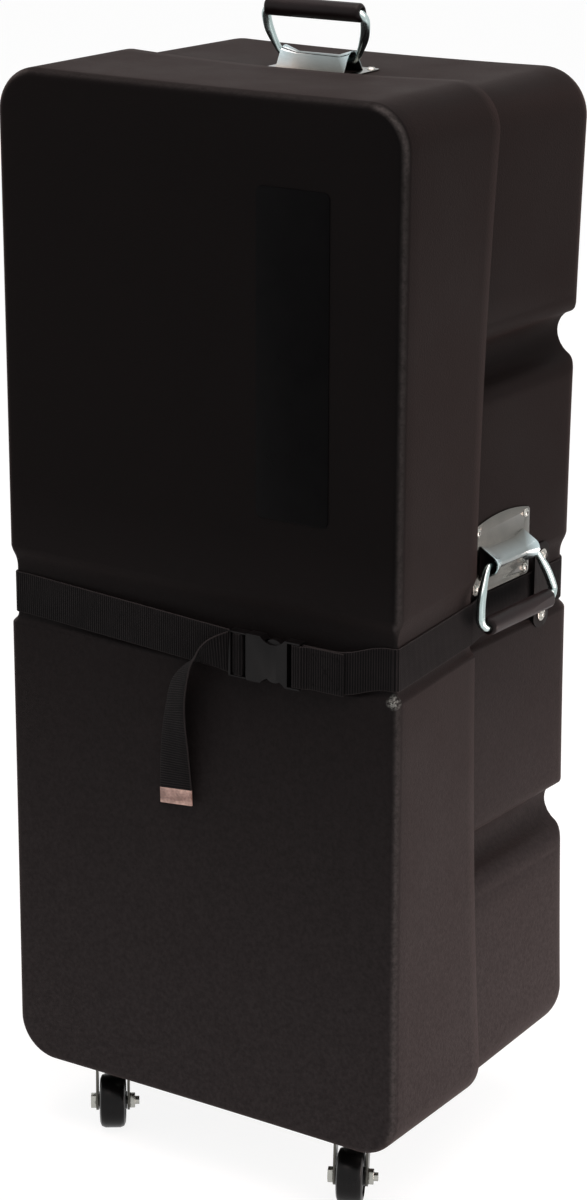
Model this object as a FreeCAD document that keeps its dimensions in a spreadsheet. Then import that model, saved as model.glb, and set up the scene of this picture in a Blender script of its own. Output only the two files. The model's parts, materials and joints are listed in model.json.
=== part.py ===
import FreeCAD, Part

import math
import os
import re
from types import SimpleNamespace

import Sketcher
from FreeCAD import Placement, Rotation, Vector

# Upright two-tub hardware case on casters. The wider front tub slides over the neck of the
# rear tub, and one webbing strap in a moulded channel ties the two together. While it is
# built, X=0 is the middle, Y=0 the front face and Z=0 the floor. Millimetres and degrees.

SIZES = {
    # Tubs: rounded boxes whose sides are drawn in between their corners
    "case_width": 413, "case_height": 925, "case_depth": 333, "front_depth": 148,
    "front_wall": 6.2, "rear_wall": 5, "lap_clearance": 1, "lap_length": 27,
    "front_corner": 39, "front_edge": 8.8, "rear_corner": 43, "rear_edge": 27.5, "inner_edge": 2.6,
    "face_bow": 0.6, "rim_side_bow": 13.6, "rim_end_bow": 4, "rear_side_bow": 7.2, "rear_end_bow": 1.5,
    # Strap channel, a little taller than the webbing that lies in it
    "strap_height_share": 0.4911, "channel_depth": 5.4, "channel_room_above": 4.2,
    "channel_room_below": 0.8, "channel_upper_run": 26, "channel_lower_run": 12, "crease": 0.6,
    # Grooves across the rear tub's side walls
    "groove_offset_share": 0.2432, "groove_depth": 29, "groove_floor_radius": 20,
    "groove_lip_radius": 22, "groove_setback": 1,
    # Webbing
    "web_width": 38.1, "web_thickness": 1.8, "web_seat": 0.15, "web_bend": 1.2, "strap_step": 30,
    "ramp_start": 12, "tip_length": 15, "tail_gap": 0.9, "lap_seam_length": 41, "lap_bend": 2.4,
    "lap_run_share": 2,
    # Buckle
    "buckle_left": 41, "buckle_drop": 9.3, "buckle_thickness": 10.5, "buckle_stand": 0.4,
    "buckle_width": 42, "buckle_round": 1.4, "web_level": 4.2, "male_width": 40.8, "male_rail": 1.15,
    "male_round": 0.5, "thin_bar": 2.4, "ladder_gap": 4.55, "ladder_bar": 5, "male_wall": 1.5,
    "guide_width": 6, "guide_length": 34, "heel_length": 4, "female_block": 42, "female_rail": 1.5,
    "slot_length": 5.5, "end_bar": 7, "end_bar_inset": 0.4, "cavity_width": 35, "cavity_height": 6.1,
    "cavity_length": 38.6, "window_centre": 27, "window_half": 12.5, "window_depth": 6,
    "tab_gap": 0.3, "tab_reach": 11, "tab_arm": 3.4, "tab_length": 36, "tab_rise": 19.5, "tab_half": 10,
    # Keepers, which hold the strap down on both sides
    "keeper_setback": 120, "keeper_rise": 6, "keeper_width": 25, "keeper_length": 80,
    "keeper_thickness": 1.6, "keeper_corner": 11, "keeper_screw_spacing": 55.5, "screw_radius": 2,
    "screw_length": 15, "screw_head_radius": 4, "screw_head_height": 2.2, "washer_radius": 6,
    "washer_thickness": 1, "hole_gap": 0.15,
    # Handle plates, pressed from sheet with a tunnel for the bail
    "plate_width": 92, "plate_below": 27.5, "plate_above": 33.5, "plate_arch": 6, "plate_corner": 4,
    "sheet": 1.2, "rivet_spread": 40, "rivet_above": 29, "rivet_below": 21.5, "rivet_radius": 2.2,
    "rivet_head_radius": 4.2, "rivet_head_height": 1.6, "rivet_grip": 7.6, "hinge_height": 10.2,
    "head_crown_share": 0.6, "tunnel_radius": 3.5, "tunnel_straight": 42, "tunnel_length": 70,
    "tunnel_flare": 4.5, "tunnel_foot": 11,
    # Bails and their grips
    "rod_radius": 3.2, "rod_gap": 3, "bail_hinge_width": 75, "bail_foot_bend": 8, "bail_top_bend": 6,
    "grip_radius": 6.8, "grip_round": 1.2, "grip_mouth_radius": 5.2, "grip_mouth_depth": 5,
    "top_bail_reach": 45, "top_bail_corners": 101.6, "top_bail_lean_angle": 9, "top_grip_length": 94,
    "top_handle_setback": 43, "side_bail_reach": 52, "side_bail_corners": 124.2,
    "side_bail_lean_angle": 11, "side_grip_length": 100, "side_handle_setback": 50,
    "side_handle_rise": 51.2,
    # Casters, the same at each corner but for the way they trail
    "caster_height": 67, "wheel_radius": 25.4, "wheel_width": 24, "wheel_round": 5, "nook_share": 0.293,
    "hub_radius": 8.5, "hub_width": 26, "tread_depth": 6.5, "tread_recess": 1.6, "axle_radius": 4,
    "axle_gap": 0.3,
    "caster_trail": 19.5, "fork_gap": 27, "fork_sheet": 2.2, "fork_bend": 2, "boss_radius": 9,
    "leg_front": 20, "leg_back": 12, "crown_thickness": 2.5, "crown_radius": 20, "race_radius": 18,
    "race_height": 5.8, "race_gap": 0.3, "race_round": 3, "pin_radius": 4.5, "pin_head_radius": 6.5,
    "pin_head_height": 1.8, "mount_width": 66, "mount_depth": 50, "mount_sheet": 2.2, "mount_corner": 5,
    "bolt_spacing_x": 50, "bolt_spacing_y": 34, "bolt_radius": 2.5, "bolt_head_radius": 5.5,
    "bolt_head_height": 2.4, "bolt_nut_radius": 4.6, "bolt_nut_height": 3.2, "bolt_grip": 16,
    "pad_margin": 5, "hex_radius": 7.2, "hex_height": 5, "axle_tail": 4,
    "front_caster_side": 72.5, "front_caster_end": 50, "rear_caster_side": 129.5, "rear_caster_end": 60,
    "pad_height": 0.5, "pad_boss": 2.5, "front_left_trail_angle": 35, "front_right_trail_angle": 27,
    "rear_left_trail_angle": 32, "rear_right_trail_angle": 30,
    # How far a cut runs past what it cuts, and the gap left between seated faces
    "overrun": 10, "seat_gap": 0.1,
}

# The strap's free end twists away from the case and hangs. Each row is one section across it:
# its lower and its upper edge, each along, out and up, in widths of the webbing.
TAIL_SHARES = [
    (0.00, 0.00, -0.50, 0.00, 0.00, 0.50),
    (-0.18, 0.03, -0.46, -0.05, 0.28, 0.50),
    (-0.39, 0.04, -0.41, -0.15, 0.50, 0.45),
    (-0.64, 0.04, -0.36, -0.25, 0.62, 0.36),
    (-0.84, 0.03, -0.36, -0.36, 0.71, 0.20),
    (-1.04, 0.02, -0.42, -0.47, 0.74, -0.03),
    (-1.24, 0.01, -0.55, -0.60, 0.71, -0.23),
    (-1.47, 0.00, -0.77, -0.73, 0.62, -0.51),
    (-1.66, -0.01, -1.07, -0.85, 0.52, -0.80),
    (-1.81, -0.03, -1.63, -0.97, 0.43, -1.33),
    (-1.91, -0.05, -2.10, -1.02, 0.34, -1.88),
    (-1.98, -0.07, -2.61, -1.04, 0.22, -2.47),
    (-2.04, -0.09, -3.70, -1.07, 0.03, -3.56),
]

doc = FreeCAD.newDocument("accessory_case")
sheet = doc.addObject("Spreadsheet::Sheet", "Sizes")
for row, (name, value) in enumerate(SIZES.items(), start=1):
    sheet.set(f"A{row}", name)
    sheet.set(f"B{row}", str(value))
    sheet.setAlias(f"B{row}", name)
doc.recompute()
s = SimpleNamespace(**{name: float(sheet.get(name)) for name in SIZES})

RIGHT, BACK, UP = Vector(1, 0, 0), Vector(0, 1, 0), Vector(0, 0, 1)
UPSIDE_DOWN = Rotation(RIGHT, -BACK, -UP, "XYZ")
BACK_TO_UP = Rotation(RIGHT, UP, -BACK, "XYZ")
TINY = 1e-6
parts = []

inset = s.front_wall + s.lap_clearance
base = s.caster_height + s.pad_height
top = base + s.case_height
half_case = s.case_width / 2
rim_y = s.front_depth
strap_z = base + s.case_height * s.strap_height_share
groove_offset = s.case_height * s.groove_offset_share


def cells(expression):
    """Turns the names of sizes in an expression into references to the sheet."""
    return re.sub(r"[a-z]\w*", lambda m: f"Sizes.{m[0]}" if m[0] in SIZES else m[0], expression)


def named(thing, label):
    thing.Label = label
    parts.append(thing)
    return thing


def feature(label, shape, seat=None):
    """A sub-part whose shape is worked out here from the sheet's values."""
    thing = doc.addObject("Part::Feature", label)
    thing.Shape = shape
    if seat:
        thing.Placement = seat
    return named(thing, label)


def new_body(label, seat=None):
    body = named(doc.addObject("PartDesign::Body", label), label)
    if seat:
        body.Placement = seat
    return body


def sketch_on(body, role, lift=None):
    """An empty sketch on one of the body's own planes, lifted off it by an expression."""
    sketch = body.newObject("Sketcher::SketchObject", "Sketch")
    plane = next(item for item in body.Origin.OriginFeatures if item.Role == role)
    sketch.AttachmentSupport = [(plane, "")]
    sketch.MapMode = "FlatFace"
    if lift:
        sketch.setExpression("AttachmentOffset.Base.z", cells(lift))
    return sketch


def bind(sketch, kind, places, expression):
    """Adds one dimension to a sketch and ties it to an expression."""
    text = cells(expression)
    index = sketch.addConstraint(Sketcher.Constraint(kind, *places, float(sketch.evalExpression(text))))
    sketch.setExpression(f"Constraints[{index}]", text)


def spot_of(sketch, x, y):
    return Vector(float(sketch.evalExpression(cells(x))), float(sketch.evalExpression(cells(y))), 0)


def polygon(sketch, corners):
    """A closed outline whose corners are pairs of expressions."""
    spots = [spot_of(sketch, *corner) for corner in corners]
    first, count = sketch.GeometryCount, len(corners)
    for k in range(count):
        sketch.addGeometry(Part.LineSegment(spots[k], spots[(k + 1) % count]))
    for k, (x, y) in enumerate(corners):
        sketch.addConstraint(Sketcher.Constraint("Coincident", first + k, 2, first + (k + 1) % count, 1))
        bind(sketch, "DistanceX", (-1, 1, first + k, 1), x)
        bind(sketch, "DistanceY", (-1, 1, first + k, 1), y)
    return sketch


def rectangle(sketch, x0, y0, x1, y1):
    return polygon(sketch, [(x0, y0), (x1, y0), (x1, y1), (x0, y1)])


def hexagon(sketch, radius):
    turns = range(0, 360, 60)
    return polygon(sketch, [(f"{radius} * cos({turn})", f"{radius} * sin({turn})") for turn in turns])


def circle(sketch, x, y, radius):
    """A circle whose centre and radius are expressions."""
    size = float(sketch.evalExpression(cells(radius)))
    element = sketch.addGeometry(Part.Circle(spot_of(sketch, x, y), UP, size))
    bind(sketch, "DistanceX", (-1, 1, element, 3), x)
    bind(sketch, "DistanceY", (-1, 1, element, 3), y)
    bind(sketch, "Radius", (element,), radius)
    return sketch


def pad(body, sketch, length, both_ways=False, reverse=False):
    step = body.newObject("PartDesign::Pad", "Pad")
    step.Profile = sketch
    step.Midplane = both_ways
    step.Reversed = reverse
    step.setExpression("Length", cells(length))
    return step


def pocket(body, sketch, length=None, both_ways=False, ahead=False):
    """Cuts back from the sketch, or ahead of it; with no length it goes right through."""
    step = body.newObject("PartDesign::Pocket", "Pocket")
    step.Profile = sketch
    step.Midplane = both_ways
    step.Reversed = ahead
    if length:
        step.setExpression("Length", cells(length))
    else:
        step.Type = "ThroughAll"
    return step


def revolve(body, sketch):
    step = body.newObject("PartDesign::Revolution", "Revolution")
    step.Profile = sketch
    step.ReferenceAxis = (sketch, ["H_Axis"])
    return step


def ease_edges(body, kind, cell, size, test):
    """A Fillet or Chamfer on those edges of a body's last feature that pass a test."""
    doc.recompute()
    last = body.Tip
    names = [f"Edge{k}" for k, edge in enumerate(last.Shape.Edges, start=1) if test(edge)]
    step = body.newObject(f"PartDesign::{kind}", kind)
    step.Base = (last, names)
    step.setExpression(cell, cells(size))
    return step


def round_edges(body, radius, test):
    return ease_edges(body, "Fillet", "Radius", radius, test)


def bevel_edges(body, size, test):
    return ease_edges(body, "Chamfer", "Size", size, test)


def runs_along(edge, axis):
    """True for a straight edge that runs along an axis."""
    if len(edge.Vertexes) < 2 or not isinstance(edge.Curve, Part.Line):
        return False
    return (edge.Vertexes[0].Point - edge.Vertexes[1].Point).cross(axis).Length < TINY


def at_radius(edge, radius):
    return isinstance(edge.Curve, Part.Circle) and abs(edge.Curve.Radius - radius) < TINY


def rounded_path(points, radii):
    """Straight runs joined by tangent arcs, one radius for each inner point."""
    edges = []
    last = points[0]
    for before, corner, after, radius in zip(points, points[1:], points[2:], radii):
        back = (before - corner).normalize()
        ahead = (after - corner).normalize()
        half = back.getAngle(ahead) / 2
        reach = radius / math.tan(half)
        start, end = corner + back * reach, corner + ahead * reach
        crown = corner + (back + ahead).normalize() * (radius / math.sin(half) - radius)
        edges.append(Part.LineSegment(last, start).toShape())
        edges.append(Part.Arc(start, crown, end).toShape())
        last = end
    edges.append(Part.LineSegment(last, points[-1]).toShape())
    return Part.Wire(edges)


def closed(points):
    return Part.makePolygon(points + points[:1])


def round_head(radius, height, centre, axis):
    """A low round head that narrows to its crown, its flat side at centre."""
    return Part.makeCone(radius, radius * s.head_crown_share, height, centre, axis)


# Tubs. A station is a depth with the outline's half width, bottom, top, corner, side bow
# and end bow there. Each tub has two, and is straight from one to the other.

front_stations = [
    (0, half_case, base, top, s.front_corner, s.face_bow, s.face_bow),
    (rim_y, half_case, base, top, s.front_corner, s.rim_side_bow, s.rim_end_bow),
]
neck = (half_case - inset, base + inset, top - inset)
neck_y = rim_y - s.lap_length
neck_share = s.lap_length / (s.case_depth - rim_y)
neck_side_bow = s.rim_side_bow + (s.rim_side_bow - s.rear_side_bow) * neck_share
neck_end_bow = s.rim_end_bow + (s.rim_end_bow - s.rear_end_bow) * neck_share
rear_stations = [
    (neck_y, *neck, s.front_corner - inset, neck_side_bow, neck_end_bow),
    (s.case_depth, *neck, s.rear_corner, s.rear_side_bow, s.rear_end_bow),
]


def station_at(stations, y):
    """The outline's values at a depth, carried on straight past both ends."""
    before, after = stations
    share = (y - before[0]) / (after[0] - before[0])
    return [a + (b - a) * share for a, b in zip(before, after)]


def outline(stations, y, wall=0):
    """Section across a tub, moved in by wall: eight arcs round a bowed rectangle."""
    _, half_width, low, high, corner, side_bow, end_bow = station_at(stations, y)
    half_width, low, high, corner = half_width - wall, low + wall, high - wall, corner - wall
    nook = corner * (1 - math.sqrt(0.5))
    side = [(half_width, low + corner), (half_width - side_bow, (low + high) / 2),
            (half_width, high - corner), (half_width - nook, high - nook)]
    roof = [(half_width - corner, high), (0, high - end_bow),
            (corner - half_width, high), (nook - half_width, high - nook)]
    ring = side + roof
    ring += [(-x, low + high - z) for x, z in ring]
    spots = [Vector(x, y, z) for x, z in ring + ring[:1]]
    return Part.Wire([Part.Arc(*spots[k:k + 3]).toShape() for k in range(0, len(ring), 2)])


def side_x(stations, y, z):
    """How far out a tub's side wall stands at a depth and a height."""
    _, half_width, low, high, corner, side_bow, _ = station_at(stations, y)
    share = (2 * z - low - high) / (high - low - 2 * corner)
    return half_width - side_bow * (1 - share ** 2)


def roof_z(y, x=0):
    """Height of the rear tub's roof at a depth and a place across it."""
    _, half_width, _, high, corner, _, end_bow = station_at(rear_stations, y)
    return high - end_bow * (1 - (x / (half_width - corner)) ** 2)


def block(stations, depths, wall, closed_y, edge):
    """A solid lofted through sections and rounded round its closed face."""
    solid = Part.makeLoft([outline(stations, y, wall) for y in depths], True, True)
    rim = [e for e in solid.Edges if all(abs(v.Y - closed_y) < TINY for v in e.Vertexes)]
    return solid.makeFillet(edge, rim)


def wall_route(stations, open_y, closed_y, edge, out=0):
    """Level route at the strap's height: up one side, across the closed face and back."""
    x0, x1 = (side_x(stations, y, strap_z) + out for y in (open_y, closed_y))
    face_y = closed_y + math.copysign(out, closed_y - open_y)
    points = [(x0, open_y), (x1, face_y), (-x1, face_y), (-x0, open_y)]
    return rounded_path([Vector(x, y, strap_z) for x, y in points], [edge, edge])


def s_bend(foot, run):
    """Two equal tangent arcs from just outside the wall down to the channel's floor."""
    depth = s.channel_depth + s.crease
    radius = (run ** 2 + depth ** 2) / (4 * depth)
    turn = math.asin(abs(run) / 2 / radius)
    way = math.copysign(radius, run)
    sweep = [(radius * (1 - math.cos(a)), way * math.sin(a)) for a in (0, turn / 2, turn)]
    outer = [(s.crease - n, foot + run - z) for n, z in sweep]
    inner = [(n - s.channel_depth, foot + z) for n, z in reversed(sweep)]
    return outer, inner


def channel_profile(origin, outward, wall):
    """Section of the strap channel, set in by wall where it shapes a tub's inside."""
    high_out, high_in = s_bend(s.web_width / 2 + s.channel_room_above, s.channel_upper_run)
    low_out, low_in = s_bend(-s.web_width / 2 - s.channel_room_below, -s.channel_lower_run)

    def spot(n, z):
        return origin + outward * (n - wall) + UP * z

    def arc(points):
        return Part.Arc(*(spot(*p) for p in points)).toShape()

    out = s.overrun + wall
    (rest, high), (_, low) = high_out[0], low_out[0]
    ring = [spot(rest, low), spot(out, low), spot(out, high), spot(rest, high)]
    edges = [Part.LineSegment(a, b).toShape() for a, b in zip(ring, ring[1:])]
    edges += [arc(high_out), arc(high_in), Part.LineSegment(spot(*high_in[2]), spot(*low_in[2])).toShape()]
    edges += [arc(low_in[::-1]), arc(low_out[::-1])]
    return Part.Wire(edges)


def channel_cutter(stations, open_y, closed_y, edge, wall):
    """The channel swept round three walls of a tub."""
    route = wall_route(stations, open_y, closed_y, edge)
    start = route.Vertexes[0].Point
    along = route.Vertexes[1].Point - start
    outward = Vector(abs(along.y), -along.x * math.copysign(1, along.y), 0).normalize()
    return route.makePipeShell([channel_profile(start, outward, wall)], True, False)


def channel_bars(stations, open_y, wall):
    """The channel's section run straight along both side walls and across the closed face."""
    bars = []
    for side in (-1, 1):
        start, end = (Vector(side * side_x(stations, y, strap_z), y, strap_z) for y in (open_y, -s.overrun))
        bars.append(Part.Face(channel_profile(start, RIGHT * side, wall)).extrude(end - start))
    start = Vector(-half_case - s.overrun, 0, strap_z)
    bars.append(Part.Face(channel_profile(start, -BACK, wall)).extrude(RIGHT * (-2 * start.x)))
    return bars


def groove_cutter(side, z, wall):
    """Rounded trough along a side wall of the rear tub, from the rim out through the back."""
    start, end = rim_y + s.groove_setback - wall, s.case_depth + s.overrun
    x0, x1 = (side_x(rear_stations, y, z) for y in (start, end))
    lip, floor = s.groove_lip_radius - wall, s.groove_floor_radius + wall
    floor_n = s.groove_depth - s.groove_floor_radius
    lip_n = s.groove_lip_radius - s.crease
    half = math.sqrt((lip + floor) ** 2 - (lip_n - floor_n) ** 2)
    turn = math.atan2(half, lip_n - floor_n)

    origin = Vector(side * x0, start, z)
    run = Vector(side * x1, end, z) - origin
    outward = Vector(run.y, -run.x, 0).normalize() * side

    def spot(n, dz):
        return origin - outward * n + UP * dz

    def lip_arc(way):
        points = [(lip_n - lip * math.cos(a), way * (half - lip * math.sin(a))) for a in (0, turn / 2, turn)]
        return [spot(*p) for p in points]

    upper, lower = lip_arc(1), lip_arc(-1)
    out = s.crease + s.overrun
    ring = [lower[0], spot(-out, -half), spot(-out, half), upper[0]]
    edges = [Part.LineSegment(a, b).toShape() for a, b in zip(ring, ring[1:])]
    deepest = spot(floor_n + floor, 0)
    for arc in (upper, [upper[2], deepest, lower[2]], lower[::-1]):
        edges.append(Part.Arc(*arc).toShape())
    return Part.Face(Part.Wire(edges)).extrude(run)


# Where things are fixed on the tubs

def caster_spot(name):
    side = -1 if name.endswith("left") else 1
    if name.startswith("front"):
        return Vector(side * (half_case - s.front_caster_side), s.front_caster_end, s.caster_height)
    return Vector(side * (half_case - s.rear_caster_side), s.case_depth - s.rear_caster_end, s.caster_height)


def bolt_spots(end):
    """Bolt centres of the two casters under one tub."""
    across, along = s.bolt_spacing_x / 2, s.bolt_spacing_y / 2
    corners = [Vector(x, y, 0) for x in (-across, across) for y in (-along, along)]
    return [caster_spot(f"{end}_{side}") + corner for side in ("left", "right") for corner in corners]


def plate_seat(origin, along, ahead, wall_point):
    """Seat of a handle plate: X along its hinge, Y to its arched edge, Z out of the wall.

    The plate is lifted clear of the highest place of the bowed wall under it."""
    out = along.cross(ahead)
    reach = [(u, v) for u in (-s.plate_width / 2, 0, s.plate_width / 2)
             for v in (-s.plate_below, 0, s.plate_above + s.plate_arch)]
    lift = max((wall_point(origin + along * u + ahead * v) - origin).dot(out) for u, v in reach)
    return Placement(origin + out * (lift + s.seat_gap), Rotation(along, ahead, out, "XYZ"))


def side_wall_point(p):
    return Vector(side_x(rear_stations, p.y, p.z), p.y, p.z)


def roof_point(p):
    return Vector(p.x, p.y, roof_z(p.y, p.x))


def run_back(wall_point, p):
    """Unit vector that follows a wall of the rear tub towards its back."""
    return (wall_point(p + BACK * s.overrun) - wall_point(p)).normalize()


side_origin = side_wall_point(Vector(0, rim_y + s.side_handle_setback, strap_z + s.side_handle_rise))
side_seat = plate_seat(side_origin, run_back(side_wall_point, side_origin), UP, side_wall_point)
top_origin = roof_point(Vector(0, rim_y + s.top_handle_setback, 0))
top_seat = plate_seat(top_origin, -RIGHT, -run_back(roof_point, top_origin), roof_point)
rivet_columns, rivet_rows = (-s.rivet_spread, s.rivet_spread), (-s.rivet_below, s.rivet_above)
rivet_spots = [Vector(u, v, 0) for u in rivet_columns for v in rivet_rows]


def keeper_seat(side):
    """Seat of a keeper strip: Y up, Z out of the tub's wall."""
    middle = Vector(0, rim_y + s.keeper_setback, strap_z + s.keeper_rise)
    ends = (middle.z - s.keeper_length / 2, middle.z + s.keeper_length / 2)
    reach = max(side_x(rear_stations, middle.y, z) for z in ends)
    back = run_back(side_wall_point, side_wall_point(middle))
    along = Vector(back.x, side * back.y, 0)
    spot = Vector(side * (reach + s.seat_gap), middle.y, middle.z)
    return Placement(spot, Rotation(along, UP, along.cross(UP), "XYZ"))


screw_spots = [Vector(0, dz, 0) for dz in (-s.keeper_screw_spacing / 2, s.keeper_screw_spacing / 2)]


def drills(seat, spots, radius):
    """Round bars that bore a wall square to the piece fixed on it."""
    out = seat.Rotation.multVec(UP)
    reach = s.screw_length + s.overrun
    return [Part.makeCylinder(radius, 2 * reach, seat.multVec(p) - out * reach, out) for p in spots]


def spot_faces(seat):
    """Flat seats in the wall's inner side for the rivets' inner heads."""
    out = seat.Rotation.multVec(UP)
    spots = [seat.multVec(p) - out * s.rivet_grip for p in rivet_spots]
    return [Part.makeCylinder(s.rivet_head_radius + s.seat_gap, s.overrun, p, -out) for p in spots]


def bolt_drills(end):
    radius, reach = s.bolt_radius + s.hole_gap, s.bolt_grip + s.overrun
    return [Part.makeCylinder(radius, 2 * reach, p - UP * reach, UP) for p in bolt_spots(end)]


def caster_pads(end, gap, wall):
    """Flat bosses through a tub's floor for its two caster plates; gap is how far up the floor is."""
    height = s.pad_height + gap + wall + s.pad_boss
    width, depth = s.mount_width + 2 * s.pad_margin, s.mount_depth + 2 * s.pad_margin
    corners = [caster_spot(f"{end}_{side}") - Vector(width / 2, depth / 2, 0) for side in ("left", "right")]
    return [Part.makeBox(width, depth, height, corner) for corner in corners]


def make_front_shell():
    wall, past = s.front_wall, rim_y + s.overrun
    outside = block(front_stations, (0, rim_y), 0, 0, s.front_edge)
    outside = outside.cut(channel_cutter(front_stations, past, 0, s.front_edge, 0))
    inside = block(front_stations, (wall, past), wall, wall, s.inner_edge)
    inside = inside.cut(channel_bars(front_stations, past + s.overrun, wall))
    return outside.cut(inside).fuse(caster_pads("front", 0, wall)).cut(bolt_drills("front"))


def make_rear_shell():
    wall, back, mouth_y = s.rear_wall, s.case_depth, neck_y - s.overrun
    outside = block(rear_stations, (neck_y, back), 0, back, s.rear_edge)
    inside = block(rear_stations, (mouth_y, back - wall), wall, back - wall, s.rear_edge - wall)

    def grooved(solid, skin):
        cutters = [channel_cutter(rear_stations, mouth_y - s.overrun, back, s.rear_edge, skin)]
        for side in (-1, 1):
            cutters += [groove_cutter(side, strap_z + dz, skin) for dz in (-groove_offset, groove_offset)]
        return solid.cut(cutters)

    holes = bolt_drills("rear")
    for seat in (side_seat, top_seat):
        holes += drills(seat, rivet_spots, s.rivet_radius + s.hole_gap) + spot_faces(seat)
    for side in (-1, 1):
        holes += drills(keeper_seat(side), screw_spots, s.screw_radius + s.hole_gap)
    return grooved(outside, 0).cut(grooved(inside, wall)).fuse(caster_pads("rear", inset, wall)).cut(holes)


feature("front_shell", make_front_shell())
feature("rear_shell", make_rear_shell())


# Webbing: one strap round the case in its channel, parted where the tubs part

web_out = -s.channel_depth + s.web_seat + s.web_thickness / 2
buckle_z = strap_z - s.buckle_drop
buckle_front = -s.buckle_stand - s.buckle_thickness
load_y = -s.buckle_stand - s.web_level
tail_y = load_y - s.web_thickness - s.tail_gap
over_y = buckle_front + s.web_thickness / 2
buckle_length = (s.thin_bar + 2 * s.ladder_gap + s.ladder_bar + s.male_wall + s.tab_gap + s.female_block
                 + s.slot_length + s.end_bar + s.end_bar_inset)


def upright(spot, across):
    """Cross-section of webbing that stands on its edge."""
    step, rise = across.normalize() * (s.web_thickness / 2), UP * (s.web_width / 2)
    return closed([spot + step + rise, spot - step + rise, spot - step - rise, spot + step - rise])


def band(points, radii, z):
    """Webbing along a level route."""
    route = rounded_path([Vector(x, y, z) for x, y in points], radii)
    start = route.Vertexes[0].Point
    along = route.Vertexes[1].Point - start
    return route.makePipeShell([upright(start, along.cross(UP))], True, False)


def front_run(side, end_x):
    """Webbing from the parting line round a front corner and along a ramp to end_x."""
    x0, x1 = (side_x(front_stations, y, strap_z) + web_out for y in (rim_y, 0))
    bend = s.front_edge + web_out
    ramp_x = x1 - bend - s.ramp_start
    points = [(side * x0, rim_y), (side * x1, -web_out), (side * ramp_x, -web_out)]
    ends = [Vector(side * ramp_x, -web_out, strap_z), Vector(end_x, load_y, buckle_z)]
    ramp = Part.makeLoft([upright(spot, BACK) for spot in ends], True, True)
    return band(points, [bend], strap_z).fuse(ramp)


def make_strap_front_left():
    """Comes in behind the buckle's ladder bar, goes over it and back out as the tail."""
    bar_x = s.buckle_left + s.thin_bar + s.ladder_gap
    beside = s.seat_gap + s.web_thickness / 2
    left, right = bar_x - beside, bar_x + s.ladder_bar + beside
    points = [(s.buckle_left, load_y), (right, load_y), (right, over_y), (left, over_y), (left, tail_y),
              (s.buckle_left, tail_y)]
    loop = band(points, [s.web_bend] * 4, buckle_z)
    return front_run(-1, s.buckle_left).fuse(loop).removeSplitter()


def make_strap_front_right():
    """Comes in behind the buckle's end bar, goes over it and back, sewn down on itself."""
    bar_x = s.buckle_left + buckle_length - s.end_bar_inset
    beside = s.seat_gap + s.web_thickness / 2
    left, seam_x = bar_x - s.end_bar - beside, s.buckle_left + buckle_length + s.lap_seam_length
    lap_y = load_y - s.web_thickness - s.seat_gap
    lap_x = bar_x + s.lap_run_share * (lap_y - over_y)
    points = [(seam_x, load_y), (left, load_y), (left, over_y), (bar_x, over_y), (lap_x, lap_y),
              (seam_x, lap_y)]
    loop = band(points, [s.web_bend, s.web_bend, s.lap_bend, s.lap_bend], buckle_z)
    return front_run(1, seam_x).fuse(loop).removeSplitter()


def make_strap_rear():
    """Steps down off the front tub's rim and runs round the back of the rear tub."""
    land_y = rim_y + s.strap_step
    x0 = side_x(front_stations, rim_y, strap_z) + web_out
    x1, x2 = (side_x(rear_stations, y, strap_z) + web_out for y in (land_y, s.case_depth))
    half = [(x0, rim_y + s.seat_gap), (x1, land_y), (x2, s.case_depth + web_out)]
    bend = s.rear_edge + web_out
    return band(half + [(-x, y) for x, y in half[::-1]], [s.strap_step, bend, bend, s.strap_step], strap_z)


feature("strap_front_left", make_strap_front_left())
feature("strap_front_right", make_strap_front_right())
feature("strap_rear", make_strap_rear())


def tail_section(row, ahead):
    """A thin section between the two edges of the strap's free end."""
    origin = Vector(s.buckle_left, tail_y, buckle_z)
    low, high = (origin + Vector(along, -out, up) * s.web_width for along, out, up in (row[:3], row[3:]))
    half = (high - low).cross(ahead).normalize() * (s.web_thickness / 2)
    return closed([low + half, low - half, high - half, high + half])


middles = [Vector(a[0] + a[3], -a[1] - a[4], a[2] + a[5]) / 2 for a in TAIL_SHARES]
aheads = [-RIGHT] + [(b - a).normalize() for a, b in zip(middles, middles[2:])]
aheads.append((middles[-1] - middles[-2]).normalize())
tail_sections = [tail_section(row, ahead) for row, ahead in zip(TAIL_SHARES, aheads)]
tip_section = tail_sections[-1].translated(aheads[-1] * s.tip_length)
feature("strap_tail", Part.makeLoft(tail_sections, True, True))
feature("strap_tip", Part.makeLoft([tail_sections[-1], tip_section], True, True))


# Side-release buckle. X along the strap from its left end, -Y out of the case, Z up.
# Sketches on XZ look at it from the front, and lift off towards the viewer.

buckle_seat = Placement(Vector(s.buckle_left, -s.buckle_stand, buckle_z), Rotation())
LADDER_END = "(thin_bar + 2 * ladder_gap + ladder_bar)"
MALE_LENGTH = "(thin_bar + 2 * ladder_gap + ladder_bar + male_wall)"
FEMALE_START = f"({MALE_LENGTH} + tab_gap)"
FEMALE_LENGTH = "(female_block + slot_length + end_bar + end_bar_inset)"
BAR_FRONT = "(buckle_thickness - web_thickness - seat_gap)"
BAR_BACK = "(web_level + web_thickness / 2 + seat_gap)"
TAIL_FRONT = "(web_level + web_thickness / 2 + tail_gap + web_thickness + seat_gap)"
CAVITY_BACK = "(buckle_thickness / 2 - cavity_height / 2 + tab_gap)"
WINDOW_RADIUS = "((window_half ^ 2 + window_depth ^ 2) / (2 * window_depth))"
TAB_RADIUS = "((tab_half ^ 2 + (tab_rise - tab_reach) ^ 2) / (2 * (tab_rise - tab_reach)))"


def symmetric(sketch, x0, x1, half):
    """A rectangle between two places along the buckle, as far up as down."""
    return rectangle(sketch, x0, f"-({half})", x1, half)


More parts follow.
